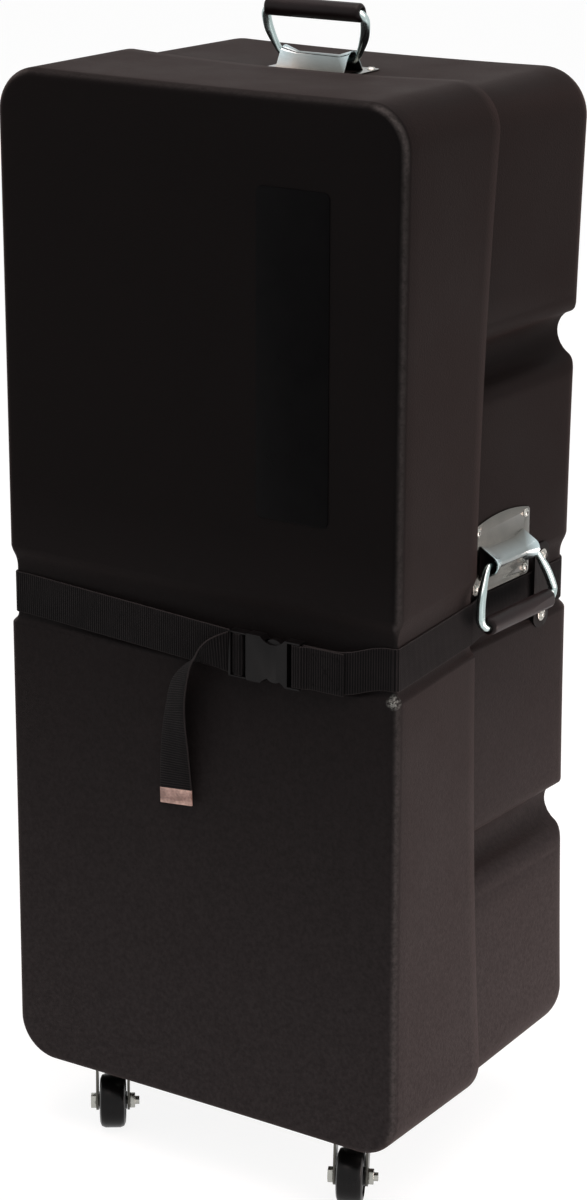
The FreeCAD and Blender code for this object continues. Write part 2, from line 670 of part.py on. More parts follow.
def make_buckle_male():
    body = new_body("buckle_male", buckle_seat)
    frame = symmetric(sketch_on(body, "XZ_Plane"), "0", MALE_LENGTH, "male_width / 2")
    pad(body, frame, "buckle_thickness")
    round_edges(body, "male_round", lambda e: runs_along(e, RIGHT))
    inner = "male_width / 2 - male_rail"
    for x0, x1 in (("thin_bar", "thin_bar + ladder_gap"), ("thin_bar + ladder_gap + ladder_bar", LADDER_END)):
        pocket(body, symmetric(sketch_on(body, "XZ_Plane"), x0, x1, inner), both_ways=True)
    beyond = f"{MALE_LENGTH} + overrun"
    pocket(body, symmetric(sketch_on(body, "XZ_Plane", BAR_FRONT), "thin_bar", beyond, inner), ahead=True)
    pocket(body, symmetric(sketch_on(body, "XZ_Plane", BAR_BACK), "-overrun", LADDER_END, inner))
    pocket(body, symmetric(sketch_on(body, "XZ_Plane", TAIL_FRONT), "-overrun", "thin_bar + seat_gap", inner))
    thickness = "cavity_height - 2 * tab_gap"
    heel = symmetric(sketch_on(body, "XZ_Plane", CAVITY_BACK), LADDER_END, f"{MALE_LENGTH} + heel_length",
                     "cavity_width / 2 - tab_gap")
    pad(body, heel, thickness)
    guide = symmetric(sketch_on(body, "XZ_Plane", CAVITY_BACK), MALE_LENGTH, f"{MALE_LENGTH} + guide_length",
                      "guide_width / 2")
    pad(body, guide, thickness)
    return body


def make_buckle_female():
    body = new_body("buckle_female", buckle_seat)
    end, half = f"({FEMALE_START} + {FEMALE_LENGTH})", "buckle_width / 2"
    pad(body, symmetric(sketch_on(body, "XZ_Plane"), FEMALE_START, end, half), "buckle_thickness")
    windows = sketch_on(body, "XZ_Plane")
    for way in ("", "-"):
        circle(windows, f"{FEMALE_START} + window_centre", f"{way}({half} - window_depth + {WINDOW_RADIUS})",
               WINDOW_RADIUS)
    pocket(body, windows, both_ways=True)
    edge = s.buckle_width / 2

    def outer(e):
        return runs_along(e, BACK) and abs(abs(e.CenterOfMass.z) - edge) < TINY

    round_edges(body, "buckle_round", outer)
    block_end = f"{FEMALE_START} + female_block"
    rail = f"{half} - female_rail"
    slot_end = f"{block_end} + slot_length"
    pocket(body, symmetric(sketch_on(body, "XZ_Plane"), block_end, slot_end, rail), both_ways=True)
    beyond = f"{end} + overrun"
    pocket(body, symmetric(sketch_on(body, "XZ_Plane", BAR_FRONT), block_end, beyond, rail), ahead=True)
    pocket(body, symmetric(sketch_on(body, "XZ_Plane", BAR_BACK), block_end, beyond, rail))
    pocket(body, symmetric(sketch_on(body, "XZ_Plane"), f"{end} - end_bar_inset", beyond, rail), both_ways=True)
    hollow = sketch_on(body, "YZ_Plane", FEMALE_START)
    middle = "buckle_thickness / 2"
    back, front = f"-({middle}) + cavity_height / 2", f"-({middle}) - cavity_height / 2"
    rectangle(hollow, front, "-cavity_width / 2", back, "cavity_width / 2")
    pocket(body, hollow, "cavity_length", ahead=True)
    return body


def make_release_tab(label, turn):
    """Sprung arm with the button that shows in one of the windows."""
    body = new_body(label, buckle_seat * Placement(Vector(0, -s.buckle_thickness / 2, 0), turn))
    lift, thickness = "-(cavity_height / 2 - tab_gap)", "cavity_height - 2 * tab_gap"
    button = sketch_on(body, "XZ_Plane", lift)
    circle(button, f"{FEMALE_START} + window_centre", f"tab_rise - {TAB_RADIUS}", TAB_RADIUS)
    pad(body, button, thickness)
    far = f"{FEMALE_START} + female_block + overrun"
    below = rectangle(sketch_on(body, "XZ_Plane"), "0", "-buckle_width", far, "tab_reach")
    pocket(body, below, both_ways=True)
    start = f"{MALE_LENGTH} + heel_length + tab_gap"
    end = f"{start} + tab_length - heel_length"
    arm = rectangle(sketch_on(body, "XZ_Plane", lift), start, "tab_reach", end, "tab_reach + tab_arm")
    pad(body, arm, thickness)
    return body


make_buckle_male()
make_buckle_female()
make_release_tab("release_tab_top", Rotation())
make_release_tab("release_tab_bottom", UPSIDE_DOWN)


# Keepers

def make_keeper(label, side):
    body = new_body(label, keeper_seat(side))
    strip = sketch_on(body, "XY_Plane")
    rectangle(strip, "-keeper_width / 2", "-keeper_length / 2", "keeper_width / 2", "keeper_length / 2")
    pad(body, strip, "keeper_thickness")
    round_edges(body, "keeper_corner", lambda e: runs_along(e, UP))
    holes = sketch_on(body, "XY_Plane")
    for way in ("", "-"):
        circle(holes, "0", f"{way}keeper_screw_spacing / 2", "screw_radius + hole_gap")
    pocket(body, holes, both_ways=True)
    return body


def keeper_fixings(make):
    """One kind of fixing at every screw hole of both keepers."""
    pieces = []
    for side in (-1, 1):
        seat = keeper_seat(side)
        out = seat.Rotation.multVec(UP)
        pieces += [make(seat.multVec(p) + out * s.keeper_thickness, out) for p in screw_spots]
    return Part.makeCompound(pieces)


def screw(spot, out):
    under_head = spot + out * s.washer_thickness
    shank = Part.makeCylinder(s.screw_radius, s.screw_length, under_head, -out)
    return round_head(s.screw_head_radius, s.screw_head_height, under_head, out).fuse(shank)


def washer(spot, out):
    ring = Part.makeCylinder(s.washer_radius, s.washer_thickness, spot, out)
    return ring.cut(Part.makeCylinder(s.screw_radius + s.hole_gap, s.washer_thickness, spot, out))


make_keeper("keeper_left", -1)
make_keeper("keeper_right", 1)
feature("keeper_screws", keeper_fixings(screw))
feature("keeper_washers", keeper_fixings(washer))


# Handles. X along the hinge, Y towards the plate's arched edge, Z out of the wall

def tunnel_face(u, radius, foot, below=0):
    """Section across the plate's tunnel: flanks that rise to touch a round crown."""
    height = s.hinge_height
    span = math.hypot(foot, height)
    lean = math.atan2(height, -foot) - math.asin(radius / span)
    reach = math.sqrt(span ** 2 - radius ** 2)
    touch_v, touch_w = foot + reach * math.cos(lean), reach * math.sin(lean)
    crown = Part.Arc(Vector(u, touch_v, touch_w), Vector(u, 0, height + radius), Vector(u, -touch_v, touch_w))
    feet = [Vector(u, -touch_v, touch_w), Vector(u, -foot, 0)]
    feet += [Vector(u, -foot, -below), Vector(u, foot, -below)] if below else []
    feet += [Vector(u, foot, 0), Vector(u, touch_v, touch_w)]
    return Part.Wire([crown.toShape()] + [Part.LineSegment(a, b).toShape() for a, b in zip(feet, feet[1:])])


def tunnel(skin, below, past):
    """The tunnel's body, straight in the middle and flared to a mouth at both ends."""
    radius = s.tunnel_radius + skin
    foot = s.tunnel_foot + skin
    middle, end = s.tunnel_straight / 2, s.tunnel_length / 2
    grow = s.tunnel_flare * (1 + past / (end - middle))
    solid = Part.makeLoft([tunnel_face(u, radius, foot, below) for u in (-middle, middle)], True, True)
    for way in (-1, 1):
        mouth = tunnel_face(way * (end + past), radius + grow, foot + grow, below)
        solid = solid.fuse(Part.makeLoft([tunnel_face(way * middle, radius, foot, below), mouth], True, True))
    return solid.removeSplitter()


def make_handle_plate():
    half, crown = s.plate_width / 2, s.plate_above + s.plate_arch
    low = [Vector(half, s.plate_above, 0), Vector(half, -s.plate_below, 0), Vector(-half, -s.plate_below, 0),
           Vector(-half, s.plate_above, 0)]
    arch = Part.Arc(low[3], Vector(0, crown, 0), low[0]).toShape()
    rim = Part.Wire([Part.LineSegment(a, b).toShape() for a, b in zip(low, low[1:])] + [arch])
    flat = Part.Face(rim).extrude(UP * s.sheet)
    flat = flat.makeFillet(s.plate_corner, [e for e in flat.Edges if runs_along(e, UP)])
    plate = flat.fuse(tunnel(s.sheet, 0, 0)).cut(tunnel(0, s.sheet, s.sheet))
    radius = s.rivet_radius + s.hole_gap
    return plate.cut([Part.makeCylinder(radius, 2 * s.sheet, p - UP * (s.sheet / 2), UP) for p in rivet_spots])


def make_rivets():
    pieces = []
    for spot in rivet_spots:
        head = round_head(s.rivet_head_radius, s.rivet_head_height, spot + UP * s.sheet, UP)
        shank = Part.makeCylinder(s.rivet_radius, s.sheet + s.rivet_grip, spot - UP * s.rivet_grip, UP)
        tail = Part.makeCylinder(s.rivet_head_radius, s.rivet_head_height, spot - UP * s.rivet_grip, -UP)
        pieces.append(head.fuse([shank, tail]))
    return Part.makeCompound(pieces)


def make_bail(corners, reach):
    """Bent rod in the XY plane, hung on its own hinge line, with its ends in the tunnel."""
    hinge, corner = s.bail_hinge_width / 2, corners / 2
    half = [(s.rod_gap / 2, 0), (hinge, 0), (corner, reach)]
    points = [Vector(x, y, 0) for x, y in half + [(-x, y) for x, y in half[::-1]]]
    bends = [s.bail_foot_bend, s.bail_top_bend, s.bail_top_bend, s.bail_foot_bend]
    end = Part.Wire([Part.makeCircle(s.rod_radius, points[0], RIGHT)])
    return rounded_path(points, bends).makePipeShell([end], True, False)


def make_grip(label, length, seat):
    body = new_body(label, seat)
    half = f"{length} / 2"
    mouth = f"{half} - grip_mouth_depth"
    profile = [
        (f"-({half})", "grip_mouth_radius"), (f"-({half})", "grip_radius"), (half, "grip_radius"),
        (half, "grip_mouth_radius"), (mouth, "grip_mouth_radius"), (mouth, "rod_radius"),
        (f"-({mouth})", "rod_radius"), (f"-({mouth})", "grip_mouth_radius"),
    ]
    revolve(body, polygon(sketch_on(body, "XZ_Plane"), profile))
    bevel_edges(body, "grip_round", lambda e: at_radius(e, s.grip_radius))
    return body


def make_handle(name, seat, swing, corners, reach, grip_cell):
    """Plate, rivets, bail and grip; swing turns the bail from the plate's +Y about its hinge."""
    hinge = seat * Placement(UP * s.hinge_height, swing)
    feature(f"{name}_handle_plate", make_handle_plate(), seat)
    feature(f"{name}_handle_rivets", make_rivets(), seat)
    feature(f"{name}_bail", make_bail(corners, reach), hinge)
    make_grip(f"{name}_grip", grip_cell, hinge * Placement(BACK * reach, Rotation()))
    return hinge


top_swing = BACK_TO_UP * Rotation(RIGHT, -s.top_bail_lean_angle)
side_swing = UPSIDE_DOWN * Rotation(RIGHT, -s.side_bail_lean_angle)
top_hinge = make_handle("top", top_seat, top_swing, s.top_bail_corners, s.top_bail_reach, "top_grip_length")
side_hinge = make_handle("side", side_seat, side_swing, s.side_bail_corners, s.side_bail_reach,
                         "side_grip_length")


# Casters. X along the axle, -Y the way the wheel trails, Z up from the floor

CROWN_TOP = "(caster_height - mount_sheet - race_height)"
CROWN_UNDER = f"({CROWN_TOP} - crown_thickness)"
FORK_HALF = "(fork_gap / 2 + fork_sheet)"


def make_caster_plate(label, seat, trail):
    """Top plate with the upper race and the swivel pin; it stays square to the case."""
    body = new_body(label, seat * Placement(Vector(), Rotation(UP, -trail)))
    under = "caster_height - mount_sheet"
    flat = sketch_on(body, "XY_Plane", under)
    rectangle(flat, "-mount_width / 2", "-mount_depth / 2", "mount_width / 2", "mount_depth / 2")
    pad(body, flat, "mount_sheet")
    round_edges(body, "mount_corner", lambda e: runs_along(e, UP))
    holes = sketch_on(body, "XY_Plane")
    for x in ("", "-"):
        for y in ("", "-"):
            circle(holes, f"{x}bolt_spacing_x / 2", f"{y}bolt_spacing_y / 2", "bolt_radius + hole_gap")
    pocket(body, holes, both_ways=True)
    race = circle(sketch_on(body, "XY_Plane", under), "0", "0", "race_radius")
    pad(body, race, "race_height - race_gap", reverse=True)
    low = s.caster_height - s.mount_sheet - s.race_height + s.race_gap

    def lower_rim(e):
        return at_radius(e, s.race_radius) and abs(e.CenterOfMass.z - low) < TINY

    bevel_edges(body, "race_round", lower_rim)
    pin = circle(sketch_on(body, "XY_Plane", under), "0", "0", "pin_radius")
    pad(body, pin, "race_height + crown_thickness + race_gap + pin_head_height", reverse=True)
    head = circle(sketch_on(body, "XY_Plane", f"{CROWN_UNDER} - race_gap"), "0", "0", "pin_head_radius")
    pad(body, head, "pin_head_height", reverse=True)
    return body


def make_fork(label, seat):
    body = new_body(label, seat)
    legs = [("leg_back", CROWN_TOP), ("-leg_front", CROWN_TOP), ("-caster_trail - boss_radius", "wheel_radius"),
            ("-caster_trail + boss_radius", "wheel_radius")]
    pad(body, polygon(sketch_on(body, "YZ_Plane"), legs), f"2 * {FORK_HALF}", both_ways=True)
    boss = circle(sketch_on(body, "YZ_Plane"), "-caster_trail", "wheel_radius", "boss_radius")
    pad(body, boss, f"2 * {FORK_HALF}", both_ways=True)
    shoulder = s.wheel_radius + s.boss_radius
    round_edges(body, "fork_bend", lambda e: runs_along(e, BACK) and e.CenterOfMass.z > shoulder)
    gap = rectangle(sketch_on(body, "XZ_Plane"), "-fork_gap / 2", "0", "fork_gap / 2", CROWN_UNDER)
    pocket(body, gap, both_ways=True)
    crown = circle(sketch_on(body, "XY_Plane", CROWN_UNDER), "0", "0", "crown_radius")
    pad(body, crown, "crown_thickness")
    bore = circle(sketch_on(body, "YZ_Plane"), "-caster_trail", "wheel_radius", "axle_radius")
    pocket(body, bore, both_ways=True)
    pocket(body, circle(sketch_on(body, "XY_Plane"), "0", "0", "pin_radius + race_gap"), both_ways=True)
    return body


def make_wheel(label, seat):
    """Solid wheel turned about its axle, with a recess each side between hub and tread."""
    body = new_body(label, seat)
    half = [
        ("hub_width / 2", "axle_radius + axle_gap"), ("hub_width / 2", "hub_radius"),
        ("wheel_width / 2 - tread_recess", "hub_radius"),
        ("wheel_width / 2 - tread_recess", "wheel_radius - tread_depth"),
        ("wheel_width / 2", "wheel_radius - tread_depth"), ("wheel_width / 2", "wheel_radius - wheel_round"),
        ("wheel_width / 2 - wheel_round * nook_share", "wheel_radius - wheel_round * nook_share"),
        ("wheel_width / 2 - wheel_round", "wheel_radius"),
    ]
    revolve(body, polygon(sketch_on(body, "XZ_Plane"), half + [(f"-({x})", r) for x, r in half[::-1]]))
    return body


def make_axle_bolt(label, seat):
    body = new_body(label, seat)
    head = hexagon(sketch_on(body, "YZ_Plane", f"-{FORK_HALF}"), "hex_radius")
    pad(body, head, "hex_height", reverse=True)
    shank = circle(sketch_on(body, "YZ_Plane", f"-{FORK_HALF}"), "0", "0", "axle_radius")
    pad(body, shank, f"2 * {FORK_HALF} + hex_height + axle_tail")
    return body


def make_axle_nut(label, seat):
    body = new_body(label, seat)
    pad(body, hexagon(sketch_on(body, "YZ_Plane", FORK_HALF), "hex_radius"), "hex_height")
    pocket(body, circle(sketch_on(body, "YZ_Plane"), "0", "0", "axle_radius"), both_ways=True)
    return body


def make_caster(name):
    trail = float(sheet.get(f"{name}_trail_angle"))
    seat = Placement(caster_spot(name) - UP * s.caster_height, Rotation(UP, trail))
    axle = seat * Placement(Vector(0, -s.caster_trail, s.wheel_radius), Rotation())
    make_caster_plate(f"{name}_caster_plate", seat, trail)
    make_fork(f"{name}_fork", seat)
    make_wheel(f"{name}_wheel", axle)
    make_axle_bolt(f"{name}_axle_bolt", axle)
    make_axle_nut(f"{name}_axle_nut", axle)
    return seat, axle


def make_caster_bolts(end):
    """Round-headed bolts up through the plates, with their nuts inside the tub."""
    pieces = []
    for spot in bolt_spots(end):
        under = spot - UP * s.mount_sheet
        head = round_head(s.bolt_head_radius, s.bolt_head_height, under, -UP)
        shank = Part.makeCylinder(s.bolt_radius, s.mount_sheet + s.bolt_grip, under, UP)
        nut = Part.makeCylinder(s.bolt_nut_radius, s.bolt_nut_height, spot + UP * s.bolt_grip, UP)
        pieces.append(head.fuse([shank, nut]))
    return Part.makeCompound(pieces)


CASTERS = ("front_left", "front_right", "rear_left", "rear_right")
caster_seats = {name: make_caster(name) for name in CASTERS}
feature("front_caster_bolts", make_caster_bolts("front"))
feature("rear_caster_bolts", make_caster_bolts("rear"))


# Everything is moved so that the origin lies under the middle of the whole case

doc.recompute()
boxes = [part.Shape.optimalBoundingBox(False) for part in parts]
shift = Vector(
    -(min(b.XMin for b in boxes) + max(b.XMax for b in boxes)) / 2,
    -(min(b.YMin for b in boxes) + max(b.YMax for b in boxes)) / 2,
    -min(b.ZMin for b in boxes),
)
for part in parts:
    part.Placement = Placement(shift, Rotation()) * part.Placement
doc.recompute()

failed = [item.Name for item in doc.Objects if {"Invalid", "Error"} & set(item.State)]
failed += [part.Label for part in parts if part.Shape.isNull() or not part.Shape.isValid()]
failed += [part.Label for part in parts if part.Shape.Volume < TINY]
if failed:
    raise RuntimeError(f"no valid shape: {failed}")

os.makedirs("parts", exist_ok=True)
for part in parts:
    part.Shape.exportStep(f"parts/{part.Label}.step")

lows = [min(getattr(b, f"{axis}Min") for b in boxes) for axis in "XYZ"]
highs = [max(getattr(b, f"{axis}Max") for b in boxes) for axis in "XYZ"]
print("overall", [round(high - low, 1) for low, high in zip(lows, highs)], "shift", shift)
for label, hinge in (("top_bail", top_hinge), ("side_bail", side_hinge)):
    print(label, "hinge", hinge.Base + shift, "axis", hinge.Rotation.multVec(RIGHT))
for name, (seat, axle) in caster_seats.items():
    print(name, "swivel", seat.Base + shift, "axle", axle.Base + shift, axle.Rotation.multVec(RIGHT))
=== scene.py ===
import json
import math

import bmesh
import bpy
import numpy as np
from mathutils import Matrix, Vector

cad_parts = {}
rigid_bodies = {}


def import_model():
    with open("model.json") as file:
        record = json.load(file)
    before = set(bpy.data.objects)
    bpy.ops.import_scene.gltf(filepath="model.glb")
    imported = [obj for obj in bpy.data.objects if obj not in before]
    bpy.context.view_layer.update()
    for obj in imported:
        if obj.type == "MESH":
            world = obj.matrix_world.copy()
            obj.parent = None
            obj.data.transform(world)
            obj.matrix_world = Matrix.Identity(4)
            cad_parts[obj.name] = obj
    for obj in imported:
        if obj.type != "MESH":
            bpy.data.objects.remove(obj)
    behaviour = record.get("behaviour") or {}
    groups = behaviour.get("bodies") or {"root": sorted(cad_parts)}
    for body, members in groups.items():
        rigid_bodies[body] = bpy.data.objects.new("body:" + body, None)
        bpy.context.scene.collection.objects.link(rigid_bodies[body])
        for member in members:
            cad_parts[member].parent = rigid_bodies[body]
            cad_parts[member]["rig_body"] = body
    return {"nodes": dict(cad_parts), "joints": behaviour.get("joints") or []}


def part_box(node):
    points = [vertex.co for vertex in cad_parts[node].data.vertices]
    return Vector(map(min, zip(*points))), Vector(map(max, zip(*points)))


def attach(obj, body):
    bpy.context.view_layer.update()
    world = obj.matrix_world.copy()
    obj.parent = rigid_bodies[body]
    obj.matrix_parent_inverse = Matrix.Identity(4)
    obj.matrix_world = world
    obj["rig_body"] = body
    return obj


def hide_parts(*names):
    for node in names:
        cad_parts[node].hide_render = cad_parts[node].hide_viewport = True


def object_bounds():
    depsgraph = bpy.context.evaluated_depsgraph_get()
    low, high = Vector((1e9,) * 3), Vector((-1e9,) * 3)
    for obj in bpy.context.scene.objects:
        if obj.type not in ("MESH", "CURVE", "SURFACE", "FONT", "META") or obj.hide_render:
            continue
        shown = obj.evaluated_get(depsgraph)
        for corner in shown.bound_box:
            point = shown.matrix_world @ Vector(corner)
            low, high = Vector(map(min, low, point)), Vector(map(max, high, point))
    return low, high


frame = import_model()
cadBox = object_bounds()
nodes = frame["nodes"]
joints = {joint["name"]: joint for joint in frame["joints"]}
up, right, back = Vector((0, 0, 1)), Vector((1, 0, 0)), Vector((0, 1, 0))
mm = 0.001
print("frame loaded:", len(nodes), "nodes")

# The case's own axes: x from its middle, y back from the front face, z up from the floor
shellLow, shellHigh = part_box("front_shell")
caseOrigin = Vector(((shellLow.x + shellHigh.x) / 2, shellLow.y, 0))


def bodyOf(node):
    return nodes[node]["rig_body"]


def inCase(x, y, z):
    return caseOrigin + Vector((x, y, z))


# Node helpers, for materials and for Geometry Nodes

def newLook(name, color, roughness, **sockets):
    look = bpy.data.materials.new(name)
    look.use_nodes = True
    tree = look.node_tree
    shader = tree.nodes["Principled BSDF"]
    shader.inputs["Base Color"].default_value = (*color, 1)
    shader.inputs["Roughness"].default_value = roughness
    for socket, value in sockets.items():
        shader.inputs[socket.replace("_", " ")].default_value = value
    return look, tree, shader


# values are (socket, number) pairs, links are sockets to join
def addNode(tree, kind, values=(), **links):
    node = tree.nodes.new(kind)
    for socket, value in values:
        node.inputs[socket].default_value = value
    for socket, source in links.items():
        tree.links.new(source, node.inputs[socket.replace("_", " ")])
    return node


def objectPlace(tree):
    return tree.nodes.new("ShaderNodeTexCoord").outputs["Object"]


def axesOf(tree, place):
    return addNode(tree, "ShaderNodeSeparateXYZ", Vector=place).outputs


def noise(tree, place, scale, detail=3.0, rough=0.55):
    values = (("Scale", scale), ("Detail", detail), ("Roughness", rough))
    return addNode(tree, "ShaderNodeTexNoise", values, Vector=place).outputs["Fac"]


noiseRange = (0.3, 0.7)    # most of a noise texture's values lie between these


def spread(tree, factor, low, high, start=0.0, end=1.0):
    values = (("From Min", start), ("From Max", end), ("To Min", low), ("To Max", high))
    return addNode(tree, "ShaderNodeMapRange", values, Value=factor).outputs["Result"]


def shade(tree, factor, dark, light):
    ramp = addNode(tree, "ShaderNodeValToRGB", Fac=factor)
    ramp.color_ramp.elements[0].color = (*dark, 1)
    ramp.color_ramp.elements[1].color = (*light, 1)
    return ramp.outputs["Color"]


# Lays a colour over another one by a share
def over(tree, under, color, share):
    mix = addNode(tree, "ShaderNodeMixRGB", (("Color2", (*color, 1)),), Color1=under, Fac=share)
    return mix.outputs["Color"]


def bump(tree, height, strength, distance):
    values = (("Strength", strength), ("Distance", distance))
    return addNode(tree, "ShaderNodeBump", values, Height=height).outputs["Normal"]


def treeMath(tree, operation, one, other=None):
    node = tree.nodes.new("ShaderNodeMath")
    node.operation = operation
    for index, value in enumerate((one, other)):
        if isinstance(value, (int, float)):
            node.inputs[index].default_value = value
        elif value is not None:
            tree.links.new(value, node.inputs[index])
    return node.outputs[0]


def times(tree, one, other):
    return treeMath(tree, "MULTIPLY", one, other)


def sumOf(tree, one, other, share):
    return treeMath(tree, "ADD", one, times(tree, other, share))


def vectorMath(tree, operation, vector):
    node = tree.nodes.new("ShaderNodeVectorMath")
    node.operation = operation
    tree.links.new(vector, node.inputs[0])
    return node


def joinShader(tree, shader, color, normal, roughness=None):
    for socket, source in (("Base Color", color), ("Normal", normal), ("Roughness", roughness)):
        if source is not None:
            tree.links.new(source, shader.inputs[socket])


# Tub plastic: nearly black, lighter towards the foot as painted light bounced up from the floor, with painted
# highlights on the rounded front edges and a pale painted highlight at the front corner just below the strap.
# A noise is its scale, detail and roughness; a share is its low, high, start and end
tubLook = {
    "dark": (0.0016, 0.0016, 0.0017), "light": (0.0032, 0.0031, 0.0032), "clouds": (9, 5, 0.6),
    # Painted light: the lighter foot (floor bounce), the front edge highlights and the pale corner patch
    "dusty": (0.0350, 0.0317, 0.0322), "dust": (1, 0, 0.02, 0.62), "floorBounceSpecks": (0.55, 1, 0.35, 0.65),
    "edgeHighlightTone": (0.085, 0.080, 0.078), "edgeHighlight": (0.75, 0.62, 0.15, 0.75), "edgeHighlightSpecks": (0.35, 1, 0.35, 0.65),
    "specks": (260, 5, 0.7), "bandIn": (0, 1, 0.0004, 0.0022), "bandOut": (1, 0, 0.0028, 0.0065),
    "sideEdge": (0, 0.62, 0.010, 0.007), "corner": (0, 1, 0.039, 0.0273),
    "cornerDrop": (0, 1, 0.085, 0.045), "topEdge": (0, 0.35, 0.012, 0),
    "glintTone": (0.30, 0.32, 0.30), "chip": (0.2005, 0.001, 0.4955), "glintNear": (1, 0, 0.0024, 0.008),
    "glintGrain": (420, 4, 0.7), "glintRough": (0, 0.9, 0.42, 0.60),
    "specular": 0.035, "smooth": 0.56, "rough": 0.70, "pebbles": 760, "grain": (1500, 2),
    "grainShare": 0.5, "relief": 0.8, "depth": 0.00020,
    "bloom": 0.06, "bloomTint": (1.0, 0.62, 0.55), "bloomRough": 0.45,
}


# Share of the painted highlight on the rounded edge of the front face: most at its corners, less down its
# sides and along its top
def edgeHighlightShare(tree, centred):
    axes = axesOf(tree, centred)
    inwards = [spread(tree, axes["Y"], *tubLook[key]) for key in ("bandIn", "bandOut")]
    half = (shellHigh.x - shellLow.x) / 2
    fromSide = treeMath(tree, "SUBTRACT", half, treeMath(tree, "ABSOLUTE", axes["X"]))
    fromTop = treeMath(tree, "SUBTRACT", shellHigh.z, axes["Z"])
    side, top = spread(tree, fromSide, *tubLook["sideEdge"]), spread(tree, fromTop, *tubLook["topEdge"])
    corner = times(tree, spread(tree, fromSide, *tubLook["corner"]),
                   spread(tree, fromTop, *tubLook["cornerDrop"]))
    most = treeMath(tree, "MAXIMUM", treeMath(tree, "MAXIMUM", side, corner), top)
    return times(tree, times(tree, *inwards), most)


# Share of the painted highlight patch at the front corner below the strap: near its centre, where the noise
# is high
def glintShare(tree, centred):
    reach = vectorMath(tree, "DISTANCE", centred)
    reach.inputs[1].default_value = tubLook["chip"]
    near = spread(tree, reach.outputs["Value"], *tubLook["glintNear"])
    return times(tree, near, spread(tree, noise(tree, centred, *tubLook["glintGrain"]), *tubLook["glintRough"]))


def makeTubPlastic():
    look, tree, shader = newLook("tubPlastic", tubLook["dark"], tubLook["rough"],
                                 Specular_IOR_Level=tubLook["specular"], Sheen_Weight=tubLook["bloom"],
                                 Sheen_Roughness=tubLook["bloomRough"], Sheen_Tint=(*tubLook["bloomTint"], 1))
    place = objectPlace(tree)
    height = axesOf(tree, place)["Z"]
    clouds, specks = noise(tree, place, *tubLook["clouds"]), noise(tree, place, *tubLook["specks"])
    color = shade(tree, spread(tree, clouds, 0, 1, *noiseRange), tubLook["dark"], tubLook["light"])
    # Painted light: lighter towards the foot, where light bounces up from the floor, broken up by specks
    dust = times(tree, spread(tree, height, *tubLook["dust"]), spread(tree, specks, *tubLook["floorBounceSpecks"]))
    color = over(tree, color, tubLook["dusty"], dust)
    shift = addNode(tree, "ShaderNodeMapping", (("Location", -caseOrigin),), Vector=place)
    centred = shift.outputs["Vector"]
    # Painted highlight along the rounded front edges, broken up by specks
    edgeHighlight = times(tree, edgeHighlightShare(tree, centred), spread(tree, height, *tubLook["edgeHighlight"]))
    speckledEdgeHighlight = times(tree, edgeHighlight, spread(tree, specks, *tubLook["edgeHighlightSpecks"]))
    color = over(tree, color, tubLook["edgeHighlightTone"], speckledEdgeHighlight)
    # Painted highlight: a pale ragged patch at the front corner just below the strap
    color = over(tree, color, tubLook["glintTone"], glintShare(tree, centred))
    pebble = addNode(tree, "ShaderNodeTexVoronoi", (("Scale", tubLook["pebbles"]),), Vector=place)
    pebble.feature = "SMOOTH_F1"
    grain = noise(tree, place, *tubLook["grain"])
    relief = sumOf(tree, pebble.outputs["Distance"], grain, tubLook["grainShare"])
    joinShader(tree, shader, color, bump(tree, relief, tubLook["relief"], tubLook["depth"]),
               spread(tree, clouds, tubLook["smooth"], tubLook["rough"], *noiseRange))
    return look


# The webbing's own sizes, its look, and how it runs through the buckle
web = {
    "width": 0.0381, "thickness": 0.0018, "pitch": 0.00235, "ribDepth": 0.00040, "ribSteps": 6, "warps": 26,
    "roundEdge": 0.9, "edgeIn": 0.35, "edgeDown": 0.75,
    "dark": (0.0012, 0.0011, 0.0012), "light": (0.0165, 0.0148, 0.0152), "edge": (0.022, 0.0195, 0.0195),
    "selvage": (0, 1, 0.0011, 0.0003), "wear": (60, 5, 0.65), "worn": (0.55, 1, 0.35, 0.75),
    "paintedRibLight": (0, 1, -0.6, 1), "fuzz": (900, 4), "fuzzShare": 0.8, "relief": 0.5, "reliefDepth": 0.00018,
    "roughness": 0.78, "specular": 0.06, "sheen": 0.02,
    "seat": 0.00015, "bend": 0.0012, "edgeLap": 0.0002, "step": 0.030, "rampStart": 0.012, "rampBend": 0.06,
    "drop": 0.0093, "stand": 0.0004, "gap": 0.0001, "seam": 0.041, "webLevel": 0.0042,
    "arcStep": 0.12, "arcLeast": 4,
    "buckleLeft": 0.041, "buckleLength": 0.0732, "buckleThickness": 0.0105, "thinBar": 0.0024,
    "ladderGap": 0.00455, "ladderBar": 0.005, "endBar": 0.007, "endBarInset": 0.0004,
    "wrapSlope": 2, "tailLayers": 1.5, "tailSteps": 1200, "tailEnd": 7, "tipLength": 0.015, "tipSteps": 16,
}


